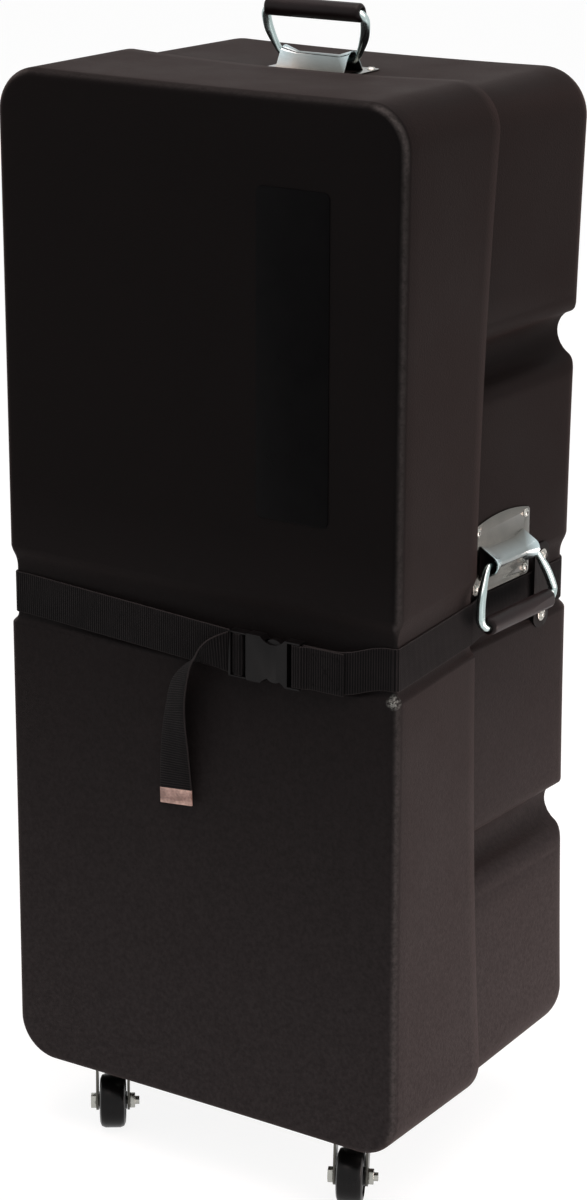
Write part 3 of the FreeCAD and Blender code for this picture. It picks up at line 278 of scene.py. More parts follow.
# Ribbed webbing: the weave follows the piece's own UV map, in metres along and across
def makeWebbing():
    look, tree, shader = newLook("webbing", web["dark"], web["roughness"],
                                 Specular_IOR_Level=web["specular"], Sheen_Weight=web["sheen"])
    axes = axesOf(tree, tree.nodes.new("ShaderNodeUVMap").outputs["UV"])
    place = objectPlace(tree)
    yarns = [treeMath(tree, "SINE", times(tree, axes[axis], 2 * math.pi / pitch))
             for axis, pitch in (("X", web["pitch"] / 2), ("Y", web["width"] / web["warps"]))]
    weave = sumOf(tree, times(tree, *yarns), noise(tree, place, *web["fuzz"]), web["fuzzShare"])
    worn = spread(tree, noise(tree, place, *web["wear"]), *web["worn"])
    # Painted light and shade on the ribs: crests lighter, valleys darker, unevenly by wear
    turns = times(tree, axes["X"], 2 * math.pi / web["pitch"])
    ribLight = times(tree, spread(tree, treeMath(tree, "COSINE", turns), *web["paintedRibLight"]), worn)
    fromEdge = treeMath(tree, "SUBTRACT", web["width"] / 2, treeMath(tree, "ABSOLUTE", axes["Y"]))
    selvage = spread(tree, fromEdge, *web["selvage"])
    color = over(tree, shade(tree, ribLight, web["dark"], web["light"]), web["edge"], selvage)
    joinShader(tree, shader, color, bump(tree, weave, web["relief"], web["reliefDepth"]))
    return look


# Heat-sealed webbing end: pinkish tan, mottled, darker across its middle, the ribs half melted away
tipLook = {
    "dark": (0.22, 0.125, 0.10), "light": (0.66, 0.44, 0.37), "roughness": 0.42, "mottle": (160, 4, 0.6),
    "tones": (0.25, 1.15), "middle": 0.55, "ribs": 110, "melted": 1.5, "mottleShare": 0.7,
    "relief": 0.4, "depth": 0.0004,
}


def makeTip():
    look, tree, shader = newLook("sealedTip", tipLook["light"], tipLook["roughness"])
    place = tree.nodes.new("ShaderNodeUVMap").outputs["UV"]
    mottle = noise(tree, objectPlace(tree), *tipLook["mottle"])
    middle = treeMath(tree, "SINE", times(tree, axesOf(tree, place)["X"], math.pi / web["tipLength"]))
    tone = treeMath(tree, "SUBTRACT", spread(tree, mottle, *tipLook["tones"], *noiseRange),
                    times(tree, middle, tipLook["middle"]))
    values = (("Scale", tipLook["ribs"]), ("Distortion", tipLook["melted"]))
    ribs = addNode(tree, "ShaderNodeTexWave", values, Vector=place).outputs["Fac"]
    relief = sumOf(tree, ribs, mottle, tipLook["mottleShare"])
    joinShader(tree, shader, shade(tree, tone, tipLook["dark"], tipLook["light"]),
               bump(tree, relief, tipLook["relief"], tipLook["depth"]))
    return look


# Fine-grained plastics and rubbers: dark and light colour, roughness, grain's depth and scale, specular
grained = {"clouds": (45, 4, 0.6), "uneven": 0.15, "detail": 3, "relief": 0.5}
grainedLooks = {
    "buckle": ("bucklePlastic", (0.0026, 0.0023, 0.0024), (0.0048, 0.0042, 0.0043), 0.32, 4e-5, 1800, 0.14),
    "keeper": ("keeperPlastic", (0.0042, 0.0037, 0.0037), (0.0075, 0.0064, 0.0062), 0.5, 0.00012, 900, 0.06),
    "grip": ("gripVinyl", (0.0030, 0.0018, 0.0020), (0.0068, 0.0042, 0.0045), 0.40, 0.00008, 700, 0.13),
    "wheel": ("wheelRubber", (0.0022, 0.0021, 0.0022), (0.0052, 0.0050, 0.0051), 0.30, 0.00008, 500, 0.16),
    "label": ("labelFoil", (0.0011, 0.0010, 0.0012), (0.0018, 0.0017, 0.0019), 0.30, 0.00002, 250, 0.03),
    "thread": ("stitchThread", (0.0040, 0.0036, 0.0037), (0.0095, 0.0085, 0.0085), 0.7, 0.0001, 2500, 0.04),
    # The next row is painted shade: the dark colour of the screw crosses and rivet eyes, in place of the
    # shade in their hollows
    "recess": ("darkRecess", (0.012, 0.011, 0.011), (0.03, 0.027, 0.025), 0.6, 0.00005, 900, 0.5),
}
gripSheen = {"Sheen_Weight": 0.04, "Sheen_Tint": (1.0, 0.62, 0.62, 1)}


def makeGrained(name, dark, light, rough, depth, scale, specular, **sockets):
    look, tree, shader = newLook(name, dark, rough, Specular_IOR_Level=specular, **sockets)
    place = objectPlace(tree)
    clouds = noise(tree, place, *grained["clouds"])
    grain = noise(tree, place, scale, grained["detail"])
    glosses = [rough * (1 + way * grained["uneven"]) for way in (-1, 1)]
    joinShader(tree, shader, shade(tree, spread(tree, clouds, 0, 1, *noiseRange), dark, light),
               bump(tree, grain, grained["relief"], depth), spread(tree, clouds, *glosses, *noiseRange))
    return look


# Bright zinc plating: cloudy passivation, fine scratches drawn along y and a warm or cool tint
zinc = {
    "dark": (0.56, 0.58, 0.57), "light": (0.66, 0.68, 0.67), "smooth": 0.20, "rough": 0.30,
    "flare": (0.52, 0.62, 0.64), "clouds": (70, 6, 0.65), "cloudRange": (0.3, 0.72),
    "drawn": (1.0, 0.12, 1.0), "scratches": (1400, 3), "relief": 0.12, "depth": 0.0001,
}
zincLooks = {    # name, tint and roughness; the handle plates' flared ends get a painted highlight, a brighter tone
    "plate": ("zincPlate", (0.165, 0.155, 0.142), 1.0),
    "handlePlate": ("zincHandlePlate", (0.20, 0.19, 0.175), 0.9, "shine"),
    "fork": ("zincFork", (0.16, 0.15, 0.135), 1.5),
    "rod": ("zincRod", (0.68, 0.80, 0.80), 0.9),
    "fixing": ("zincFixing", (0.62, 0.60, 0.56), 1.0),
}


def makeZinc(name, tint, gloss, flare=None):
    look, tree, shader = newLook(name, zinc["light"], zinc["rough"], Metallic=1.0)
    place = objectPlace(tree)
    clouds = noise(tree, place, *zinc["clouds"])
    dark, light = ([c * t for c, t in zip(zinc[key], tint)] for key in ("dark", "light"))
    color = shade(tree, spread(tree, clouds, 0, 1, *zinc["cloudRange"]), dark, light)
    # Painted highlight: a brighter, bluer tone on the flared ends of the handle plates' tunnels
    if flare:
        raised = tree.nodes.new("ShaderNodeAttribute")
        raised.attribute_name = flare
        color = over(tree, color, zinc["flare"], raised.outputs["Fac"])
    drawn = addNode(tree, "ShaderNodeMapping", (("Scale", zinc["drawn"]),), Vector=place).outputs["Vector"]
    scratches = noise(tree, drawn, *zinc["scratches"])
    joinShader(tree, shader, color, bump(tree, scratches, zinc["relief"], zinc["depth"]),
               spread(tree, clouds, zinc["smooth"] * gloss, zinc["rough"] * gloss, *noiseRange))
    return look


looks = {"tub": makeTubPlastic(), "webbing": makeWebbing(), "tip": makeTip()}
for key, row in grainedLooks.items():
    looks[key] = makeGrained(*row, **(gripSheen if key == "grip" else {}))
for key, row in zincLooks.items():
    looks[key] = makeZinc(*row)
print("materials made:", len(looks))


# Mesh helpers

weldGap = 1e-6
easeSegments = 2
angles = {"smooth": 40, "webbing": 50, "part": 28, "flat": 1.5}    # degrees


def newObject(name, data):
    piece = bpy.data.objects.new(name, data)
    bpy.context.scene.collection.objects.link(piece)
    return piece


def meshPiece(name, spots, faces, look=None):
    mesh = bpy.data.meshes.new(name)
    mesh.from_pydata([tuple(p) for p in spots], [], faces)
    mesh.validate()
    if look:
        mesh.materials.append(looks[look])
    return newObject(name, mesh)


# A bmesh of a mesh, with its doubles merged
def merged(mesh, gap=weldGap):
    work = bmesh.new()
    work.from_mesh(mesh)
    bmesh.ops.remove_doubles(work, verts=work.verts, dist=gap)
    return work


def pieceFrom(work, name, look=None):
    mesh = bpy.data.meshes.new(name)
    work.to_mesh(mesh)
    work.free()
    if look:
        mesh.materials.append(looks[look])
    return newObject(name, mesh)


def shadeByAngle(piece, degrees):
    mesh = piece.data
    mesh.polygons.foreach_set("use_smooth", [True] * len(mesh.polygons))
    mesh.set_sharp_from_angle(angle=math.radians(degrees))


# Welds a piece's doubles and turns its faces outwards
def mended(piece, gap=weldGap):
    work = merged(piece.data, gap)
    bmesh.ops.dissolve_degenerate(work, dist=gap, edges=work.edges)
    bmesh.ops.recalc_face_normals(work, faces=work.faces)
    work.to_mesh(piece.data)
    work.free()
    return piece


# Turns a piece and its modifiers into one plain mesh
def finished(piece, degrees=angles["smooth"]):
    bpy.context.view_layer.update()
    done = bpy.data.meshes.new_from_object(piece.evaluated_get(bpy.context.evaluated_depsgraph_get()))
    done.name = piece.name
    piece.modifiers.clear()
    piece.data = done
    shadeByAngle(piece, degrees)
    return piece


def addModifier(piece, kind, **values):
    step = piece.modifiers.new(kind.lower(), kind)
    for name, value in values.items():
        setattr(step, name, value)


def easeEdges(piece, width, degrees):
    addModifier(piece, "BEVEL", width=width, segments=easeSegments, limit_method="ANGLE",
                angle_limit=math.radians(degrees))


# A copy of a rigid node with its flat faces joined and its edges eased, so that they catch light
def edged(node, name, look, bevel):
    work = merged(nodes[node].data)
    flat = math.radians(angles["flat"])
    bmesh.ops.dissolve_limit(work, angle_limit=flat, verts=work.verts, edges=work.edges)
    piece = pieceFrom(work, name, look)
    if bevel:
        easeEdges(piece, bevel, angles["part"])
    return finished(piece, angles["part"])


def mark(piece, name, values, kind="FLOAT"):
    data = piece.data.attributes.new(name, kind, "POINT").data
    data.foreach_set("value" if kind == "FLOAT" else "vector", values)


def placed(piece, body, instead=()):
    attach(piece, body)
    if instead:
        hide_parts(*instead)
    return piece


# Tubs: the wall is a grid of rows up the case and columns from the rim round to the closed face

tubs = {
    "width": 0.413, "height": 0.925, "depth": 0.333, "rim": 0.148, "lap": 0.027, "wall": 0.0062,
    "rearWall": 0.005, "clearance": 0.001, "frontCorner": 0.039, "rearCorner": 0.043, "frontEdge": 0.0088,
    "rearEdge": 0.0275, "faceBow": 0.0006, "rimSideBow": 0.0136, "rimEndBow": 0.004, "rearSideBow": 0.0072,
    "rearEndBow": 0.0015, "strapHeight": 0.45427, "channelDepth": 0.0054, "roomAbove": 0.0042,
    "roomBelow": 0.0008, "upperRun": 0.026, "lowerRun": 0.012, "crease": 0.0006, "grooveOffset": 0.22496,
    "grooveDepth": 0.029, "grooveFloor": 0.020, "grooveLip": 0.022, "grooveSetback": 0.001,
}
tubGrid = {
    "arcSteps": 14, "past": 2 * mm, "lowerStep": 0.8 * mm, "floorStep": 6 * mm, "upperStep": 1.1 * mm,
    "wideStep": 18 * mm, "lipSteps": 10, "grooveSteps": 8, "groovePast": 1.5 * mm, "grooveBlend": 2.5 * mm,
    "frontStep": 14 * mm, "neckStep": 7 * mm, "rearStep": 11 * mm, "frontRound": 8, "rearRound": 14,
    "frontFace": 40, "rearFace": 36, "weld": 2e-5, "easing": 0.7 * mm, "easingAngle": 55,
}
caseTop = shellHigh.z
caseBase = caseTop - tubs["height"]
strapZ = caseBase + tubs["strapHeight"]
inset = tubs["wall"] + tubs["clearance"]
neckShare = tubs["lap"] / (tubs["depth"] - tubs["rim"])
channelTop = web["width"] / 2 + tubs["roomAbove"]    # the channel's floor, from the strap's middle
channelFoot = -web["width"] / 2 - tubs["roomBelow"]


def station(y, corner, sideBow, endBow):
    return {"y": y, "corner": corner, "sideBow": sideBow, "endBow": endBow}


frontTub = {
    "half": tubs["width"] / 2, "low": caseBase, "high": caseTop, "edge": tubs["frontEdge"],
    "open": station(tubs["rim"], tubs["frontCorner"], tubs["rimSideBow"], tubs["rimEndBow"]),
    "closed": station(0.0, tubs["frontCorner"], tubs["faceBow"], tubs["faceBow"]),
}
rearTub = {
    "half": tubs["width"] / 2 - inset, "low": caseBase + inset, "high": caseTop - inset,
    "edge": tubs["rearEdge"],
    "open": station(tubs["rim"] - tubs["lap"], tubs["frontCorner"] - inset,
                    tubs["rimSideBow"] + (tubs["rimSideBow"] - tubs["rearSideBow"]) * neckShare,
                    tubs["rimEndBow"] + (tubs["rimEndBow"] - tubs["rearEndBow"]) * neckShare),
    "closed": station(tubs["depth"], tubs["rearCorner"], tubs["rearSideBow"], tubs["rearEndBow"]),
}


def atDepth(tub, y, what):
    start, end = tub["open"], tub["closed"]
    return start[what] + (end[what] - start[what]) * (y - start["y"]) / (end["y"] - start["y"])


# How far out the side wall stands, drawn in between the corners
def sideX(tub, y, z):
    run = (tub["high"] - tub["low"]) / 2 - atDepth(tub, y, "corner")
    share = min(1, abs(z - (tub["high"] + tub["low"]) / 2) / run)
    return tub["half"] - atDepth(tub, y, "sideBow") * (1 - share ** 2)


# Depth at a place along the S-shaped shoulder, from the wall down to the channel's floor
def bendDepth(along, run):
    total = tubs["channelDepth"] + tubs["crease"]
    radius = (run ** 2 + total ** 2) / (4 * total)
    if along > run / 2:
        return total - radius + math.sqrt(radius ** 2 - (run - along) ** 2)
    return radius - math.sqrt(radius ** 2 - along ** 2)


def channelDepth(z):
    rise = z - strapZ
    if channelFoot <= rise <= channelTop:
        return tubs["channelDepth"]
    past, run = rise - channelTop, tubs["upperRun"]
    if rise < channelFoot:
        past, run = channelFoot - rise, tubs["lowerRun"]
    return max(0, bendDepth(run - past, run) - tubs["crease"]) if past < run else 0


grooveLipN = tubs["grooveLip"] - tubs["crease"]
grooveFloorN = tubs["grooveDepth"] - tubs["grooveFloor"]
grooveReach = tubs["grooveLip"] + tubs["grooveFloor"]
grooveHalf = math.sqrt(grooveReach ** 2 - (grooveLipN - grooveFloorN) ** 2)
grooveTurn = math.acos((grooveLipN - grooveFloorN) / grooveReach)
grooveZs = [strapZ + way * tubs["grooveOffset"] for way in (-1, 1)]


# Depth of the side grooves: a round floor between two rounded lips
def grooveDepth(rise):
    rise = abs(rise)
    if rise >= grooveHalf:
        return None
    if rise > tubs["grooveFloor"] * math.sin(grooveTurn):
        return grooveLipN - math.sqrt(max(0, tubs["grooveLip"] ** 2 - (grooveHalf - rise) ** 2))
    return grooveFloorN + math.sqrt(tubs["grooveFloor"] ** 2 - rise ** 2)


def softMin(a, b, blend):
    share = max(0, blend - abs(a - b)) / blend
    return min(a, b) - share ** 2 * blend / 4


def between(low, high, step):
    count = max(1, round((high - low) / step))
    return [low + (high - low) * k / count for k in range(count + 1)]


# Heights of the rows between the corners, close together at the channel and the grooves
def tubRows(tub):
    past, lips = tubGrid["past"], tubGrid["lipSteps"]
    rises = between(channelFoot - tubs["lowerRun"] - past, channelFoot, tubGrid["lowerStep"])
    rises += between(channelFoot, channelTop, tubGrid["floorStep"])[1:]
    rises += between(channelTop, channelTop + tubs["upperRun"] + past, tubGrid["upperStep"])[1:]
    rows = [strapZ + rise for rise in rises]
    if tub is rearTub:
        half = [grooveHalf - tubs["grooveLip"] * math.sin(grooveTurn * k / lips) for k in range(lips + 1)]
        half += [tubs["grooveFloor"] * math.sin(grooveTurn * k / tubGrid["grooveSteps"])
                 for k in range(1, tubGrid["grooveSteps"])]
        half = sorted(set(half)) + [grooveHalf + tubGrid["groovePast"]]
        for middle in grooveZs:
            rows += [middle + way * rise for rise in half for way in (-1, 1)] + [middle]
    reach = tubs["rearCorner"] + past
    rows = sorted(rows + [tub["low"] + reach, tub["high"] - reach])
    filled = []
    for low, high in zip(rows, rows[1:]):
        filled += between(low, high, tubGrid["wideStep"])[:-1]
    return filled + rows[-1:]


# Point of the right wall in a row, moved in by drawn, with its outward direction
def tubSpot(tub, row, y, drawn):
    kind, value = row
    if kind == "side":
        return Vector((sideX(tub, y, value) - drawn, y, value)), right
    corner = atDepth(tub, y, "corner")
    way = 1 if kind == "top" else -1
    centre = tub["high"] - corner if way > 0 else tub["low"] + corner
    out = Vector((math.cos(value), 0, way * math.sin(value)))
    spot = Vector((tub["half"] - corner, y, centre)) + out * (corner - drawn)
    return spot, out


# Columns from the rim to the closed face: depth, how far drawn in, turn round the edge, grooved
def tubSection(tub, depths, roundSteps, way):
    edge, closed = tub["edge"], tub["closed"]["y"]
    columns = [(y, 0, 0, grooved) for y, grooved in depths]
    for k in range(roundSteps + 1):
        turn = math.pi / 2 * k / roundSteps
        columns.append((closed + way * edge * (1 - math.sin(turn)), edge * (1 - math.cos(turn)), turn, True))
    return columns


def makeTub(tub, name, depths, roundSteps, faceSteps, wall):
    way = 1 if tub["open"]["y"] > tub["closed"]["y"] else -1
    columns = tubSection(tub, depths, roundSteps, way)
    corners = between(0, math.pi / 2, math.pi / 2 / tubGrid["arcSteps"])
    rows = [("bottom", a) for a in reversed(corners)] + [("side", z) for z in tubRows(tub)]
    rows += [("top", a) for a in corners]
    shares = [k / faceSteps for k in range(1, faceSteps)]

    def shaped(spot, out, turn, grooved):
        outward = Vector((out.x * math.cos(turn), -way * math.sin(turn), 0))
        spot = spot - outward * channelDepth(spot.z)
        if grooved and tub is rearTub:
            for middle in grooveZs:
                depth = grooveDepth(spot.z - middle)
                if depth is not None:
                    spot.x = softMin(spot.x, sideX(tub, spot.y, middle) - depth, tubGrid["grooveBlend"])
        return spot

    spots, faces = [], []

    def addGrid(grid):
        start, wide = len(spots), len(grid[0])
        for line in grid:
            spots.extend(inCase(*p) for p in line)
        for i in range(len(grid) - 1):
            for k in range(wide - 1):
                a = start + i * wide + k
                faces.append((a, a + 1, a + wide + 1, a + wide))

    walls = []
    for row in rows:
        half = []
        for y, drawn, turn, grooved in columns:
            spot, out = tubSpot(tub, row, y, drawn)
            half.append(shaped(spot, out, turn, grooved))
        end = half[-1]
        sag = tub["closed"]["endBow"] * (math.sin(row[1]) if row[0] != "side" else 0)
        sag = -sag if row[0] == "top" else sag
        middle = [Vector((end.x * (1 - 2 * u), end.y, end.z + sag * (1 - (1 - 2 * u) ** 2))) for u in shares]
        walls.append(half + middle + [Vector((-p.x, p.y, p.z)) for p in reversed(half)])
    addGrid(walls)
    for level, sign in (("high", 1), ("low", -1)):
        grid = []
        for y, drawn, *_ in columns:
            reach = tub["half"] - atDepth(tub, y, "corner")
            bow = atDepth(tub, y, "endBow")
            line = [(t, sign * (drawn + bow * (1 - t ** 2))) for t in (1 - 2 * u for u in (0, *shares, 1))]
            grid.append([(reach * t, y, tub[level] - down) for t, down in line])
        addGrid(grid)
    piece = mended(meshPiece(name, spots, faces, "tub"), tubGrid["weld"])
    face = piece.data.polygons[0]
    if face.normal.dot(face.center - inCase(0, tubs["rim"], strapZ)) < 0:
        piece.data.flip_normals()
    addModifier(piece, "SOLIDIFY", thickness=wall, offset=-1)
    easeEdges(piece, tubGrid["easing"], tubGrid["easingAngle"])
    return finished(piece)


rimY, neckY = tubs["rim"], tubs["rim"] - tubs["lap"]
stepY = rimY + tubs["grooveSetback"]
frontDepths = [(y, False) for y in between(rimY, tubs["frontEdge"], -tubGrid["frontStep"])[:-1]]
rearDepths = [(y, False) for y in between(neckY, stepY, tubGrid["neckStep"])]
rearDepths += [(y, True) for y in between(stepY, tubs["depth"] - tubs["rearEdge"], tubGrid["rearStep"])[:-1]]
front = makeTub(frontTub, "frontTub", frontDepths, tubGrid["frontRound"], tubGrid["frontFace"], tubs["wall"])
rear = makeTub(rearTub, "rearTub", rearDepths, tubGrid["rearRound"], tubGrid["rearFace"], tubs["rearWall"])
placed(front, "front_tub", ["front_shell"])
placed(rear, "rear_tub", ["rear_shell"])
print("tubs made")

# Everything else that is rigid keeps its solid's shape and gets eased edges and its own finish:
# node, look and width of the eased edge in millimetres

plainParts = [
    ("buckle_male", "buckle", 0.35), ("buckle_female", "buckle", 0.5), ("release_tab_top", "buckle", 0.4),
    ("release_tab_bottom", "buckle", 0.4), ("keeper_left", "keeper", 0.35), ("keeper_right", "keeper", 0.35),
    ("keeper_washers", "fixing", 0.2), ("keeper_screws", "fixing", 0.2),
    ("front_caster_bolts", "fixing", 0.3), ("rear_caster_bolts", "fixing", 0.3),
]
for handle in ("top", "side"):
    plainParts += [(f"{handle}_handle_plate", "handlePlate", 0.3), (f"{handle}_handle_rivets", "fixing", 0.3),
                   (f"{handle}_bail", "rod", 0), (f"{handle}_grip", "grip", 0.5)]
casters = ("front_left", "front_right", "rear_left", "rear_right")
for corner in casters:
    plainParts += [(f"{corner}_caster_plate", "plate", 0.3), (f"{corner}_fork", "fork", 0.3),
                   (f"{corner}_wheel", "wheel", 0.5), (f"{corner}_axle_bolt", "fixing", 0.3),
                   (f"{corner}_axle_nut", "fixing", 0.3)]
sideAxis = Vector(joints["side_handle_hinge"]["axis"])
sideOut = Vector((abs(sideAxis.y), -sideAxis.x * math.copysign(1, sideAxis.y), 0)).normalized()


def camel(node):
    words = node.split("_")
    return words[0] + "".join(word.capitalize() for word in words[1:])


def hingeOf(handle):
    hinge = joints[f"{handle}_handle_hinge"]
    return Vector(hinge["pos_m"]), Vector(hinge["axis"]).normalized()


# Share of the way from start to end, held between 0 and 1
def shareOf(value, start, end):
    return min(1, max(0, (value - start) / (end - start)))


bail = {
    "longestEdge": 0.004, "passes": 6, "bow": 0.0045, "rodSwell": 0.0009, "gripSwell": 0.0016,
    "swellStart": 0.010, "swellEnd": 0.022,
}


# Bows a bail's legs outwards between its hinge and its grip and swells it outside the hinge
def bowed(piece, handle, swell):
    pivot, axis = hingeOf(handle)
    low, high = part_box(f"{handle}_grip")
    toGrip = (low + high) / 2 - pivot
    toGrip -= axis * toGrip.dot(axis)
    reach, drawnIn = toGrip.length, toGrip.normalized() * bail["gripSwell"]
    work = merged(piece.data)
    for _ in range(bail["passes"]):
        bmesh.ops.triangulate(work, faces=work.faces)
        long = [edge for edge in work.edges if edge.calc_length() > bail["longestEdge"]]
        if not long:
            break
        bmesh.ops.subdivide_edges(work, edges=long, cuts=1)
    work.normal_update()
    moves = []
    for vert in work.verts:
        arm = vert.co - pivot
        share = shareOf(arm.dot(toGrip), 0, reach ** 2)
        grown = shareOf((arm - axis * arm.dot(axis)).length, bail["swellStart"], bail["swellEnd"])
        bow = bail["bow"] * math.sin(math.pi * share) * math.copysign(1, arm.dot(axis))
        moves.append(axis * bow + vert.normal * swell * grown - drawnIn * share)
    for vert, move in zip(work.verts, moves):
        vert.co = [min(max(c, low), high) for c, low, high in zip(vert.co + move, *cadBox)]
    work.to_mesh(piece.data)
    work.free()
    shadeByAngle(piece, angles["smooth"])


shine = {"riseStart": 0.0030, "riseEnd": 0.0075, "endStart": 0.45, "endEnd": 0.95}


# Marks the share of the painted highlight at each point of a handle plate: most at the flared ends of its
# tunnel
def markFlareHighlight(piece, handle):
    pivot, axis = hingeOf(handle)
    outward = up if handle == "top" else sideOut
    spots = [vert.co - pivot for vert in piece.data.vertices]
    floor = min(spot.dot(outward) for spot in spots)
    rises = [spot.dot(outward) - floor for spot in spots]
    widest = max(abs(spot.dot(axis)) for spot, rise in zip(spots, rises) if rise > shine["riseEnd"])
    mark(piece, "shine", [shareOf(rise, shine["riseStart"], shine["riseEnd"])
                          * shareOf(abs(spot.dot(axis)) / widest, shine["endStart"], shine["endEnd"])
                          for spot, rise in zip(spots, rises)])


for node, look, bevel in plainParts:
    piece = edged(node, camel(node), look, bevel * mm)
    handle, kind = node.split("_")[0], node.split("_")[-1]
    if node.endswith("handle_plate"):
        markFlareHighlight(piece, handle)
    if kind in ("bail", "grip"):
        bowed(piece, handle, bail["rodSwell" if kind == "bail" else "gripSwell"])
    placed(piece, bodyOf(node), [node])
print("rigid parts dressed:", len(plainParts))

# Webbing: levels of its middle where it runs in the channel and through the buckle

thick = web["thickness"]
webOut = -tubs["channelDepth"] + web["seat"] + thick / 2
buckleZ = strapZ - web["drop"]
loadY = -web["stand"] - web["webLevel"]
tailY = loadY - thick * web["tailLayers"]
overY = -web["stand"] - web["buckleThickness"] + thick / 2


# Points every step along straight runs joined by arcs
def roundedRoute(points, radii, step):
    chain = [points[0]]
    for before, corner, after, radius in zip(points, points[1:], points[2:], radii):
        inward, ahead = (before - corner).normalized(), (after - corner).normalized()
        half = inward.angle(ahead) / 2
        reach = radius / math.tan(half)
        middle = corner + (inward + ahead).normalized() * (radius / math.sin(half))
        one, other = corner + inward * reach - middle, corner + ahead * reach - middle
        turn = math.pi - 2 * half
        count = max(web["arcLeast"], math.ceil(turn / web["arcStep"]))
        chain += [middle + (one * math.sin(turn * (1 - k / count)) + other * math.sin(turn * k / count))
                  / math.sin(turn) for k in range(count + 1)]
    rows, at = resampled(chain + [points[-1]], step)
    return rows[0], at


# A chain of points, and others that go with it, at even distances along the chain
def resampled(chain, step, *others):
    lengths = [0]
    for a, b in zip(chain, chain[1:]):
        lengths.append(lengths[-1] + (b - a).length)
    at = np.linspace(0, lengths[-1], max(2, round(lengths[-1] / step)) + 1)
    rows = []
    for points in (chain, *others):
        columns = [np.interp(at, lengths, [p[axis] for p in points]) for axis in range(3)]
        rows.append([Vector(p) for p in zip(*columns)])
    return rows, list(at)


# A flat tube round a line of spots; acrosses point to its upper edge
def webbingPiece(name, spots, lengths, acrosses, look="webbing"):
    flat, half = web["width"] / 2, thick / 2
    edge = half * web["roundEdge"]
    shoulder = (flat - edge * web["edgeIn"], half * web["edgeDown"])
    ring = [(flat - edge, half), shoulder, (flat, 0), (shoulder[0], -shoulder[1]), (flat - edge, -half),
            (flat / 3, -half), (-flat / 3, -half)]
    ring += [(-w, -n) for w, n in ring]
    around = len(ring)
    points, faces, lineUp, push, normals = [], [], [], [], []
    for k, (spot, along, across) in enumerate(zip(spots, lengths, acrosses)):
        ahead = (spots[min(k + 1, len(spots) - 1)] - spots[max(k - 1, 0)]).normalized()
        out = across.cross(ahead).normalized()
        for w, n in ring:
            points.append(spot + across * w + out * n)
            lineUp.append((along, w))
            push.append(0.0 if abs(w) > flat - edge / 2 else math.copysign(1, n))
            normals.extend(out)
    for k in range(len(spots) - 1):
        for i in range(around):
            a, b = k * around + i, k * around + (i + 1) % around
            faces.append((a, b, b + around, a + around))
    faces.append(tuple(range(around)))
    faces.append(tuple(reversed(range(len(points) - around, len(points)))))
    piece = meshPiece(name, points, faces, look)
    uv = piece.data.uv_layers.new(name="weave")
    for loop in piece.data.loops:
        uv.data[loop.index].uv = lineUp[loop.vertex_index]
    mark(piece, "along", [p[0] for p in lineUp])
    mark(piece, "ribSide", push)
    mark(piece, "ribOut", normals, "FLOAT_VECTOR")
    return piece


# One tree of nodes raises the ribs of every piece of webbing

def newTree(name, inputs):
    tree = bpy.data.node_groups.new(name, "GeometryNodeTree")
    face = tree.interface
    face.new_socket("Geometry", in_out="INPUT", socket_type="NodeSocketGeometry")
    for title, kind in inputs:
        face.new_socket(title, in_out="INPUT", socket_type=f"NodeSocket{kind}")
    face.new_socket("Geometry", in_out="OUTPUT", socket_type="NodeSocketGeometry")
    return tree, tree.nodes.new("NodeGroupInput")


# Makes instances real, sets the look and ends the tree
def endTree(tree, start, geometry):
    real = addNode(tree, "GeometryNodeRealizeInstances", Geometry=geometry)
    paint = addNode(tree, "GeometryNodeSetMaterial", Geometry=real.outputs["Geometry"],
                    Material=start.outputs["Look"])
    addNode(tree, "NodeGroupOutput", Geometry=paint.outputs["Geometry"])
    return tree


def attribute(tree, name, kind="FLOAT"):
    node = tree.nodes.new("GeometryNodeInputNamedAttribute")
    node.data_type = kind
    node.inputs["Name"].default_value = name
    return node.outputs["Attribute"]


def makeRibTree():
    tree, start = newTree("webbingRibs", [("Pitch", "Float"), ("Depth", "Float"), ("Look", "Material")])
    turns = treeMath(tree, "DIVIDE", attribute(tree, "along"), start.outputs["Pitch"])
    wave = treeMath(tree, "COSINE", times(tree, turns, 2 * math.pi))
    half = times(tree, start.outputs["Depth"], 0.5)
    lift = times(tree, times(tree, wave, attribute(tree, "ribSide")), half)
    offset = vectorMath(tree, "SCALE", attribute(tree, "ribOut", "FLOAT_VECTOR"))
    tree.links.new(lift, offset.inputs["Scale"])
    move = addNode(tree, "GeometryNodeSetPosition", Geometry=start.outputs["Geometry"],
                   Offset=offset.outputs["Vector"])
    return endTree(tree, start, move.outputs["Geometry"])


def runTree(piece, tree, values, degrees):
    step = piece.modifiers.new(tree.name, "NODES")
    step.node_group = tree
    for item in tree.interface.items_tree:
        if item.in_out == "INPUT" and item.name in values:
            step[item.identifier] = values[item.name]
    return finished(piece, degrees)


ribTree = makeRibTree()
ribStep = web["pitch"] / web["ribSteps"]


def ribbedWebbing(node, spots, lengths, acrosses):
    piece = webbingPiece(camel(node), spots, lengths, acrosses)
    values = {"Pitch": web["pitch"], "Depth": web["ribDepth"], "Look": looks["webbing"]}
    placed(runTree(piece, ribTree, values, angles["webbing"]), bodyOf(node), [node])


# Webbing that stands on its edge along a route; corners are in the case's axes
def levelWebbing(node, corners, radii):
    spots, lengths = roundedRoute([Vector(c) for c in corners], radii, ribStep)
    ribbedWebbing(node, [inCase(*p) for p in spots], lengths, [up] * len(spots))


def frontCorners(side, endX):
    xs = [sideX(frontTub, y, strapZ) + webOut for y in (rimY, 0)]
    rampX = xs[1] - (tubs["frontEdge"] + webOut) - web["rampStart"]
    return [(side * xs[0], rimY, strapZ), (side * xs[1], -webOut, strapZ), (side * rampX, -webOut, strapZ),
            (endX, loadY, buckleZ)]


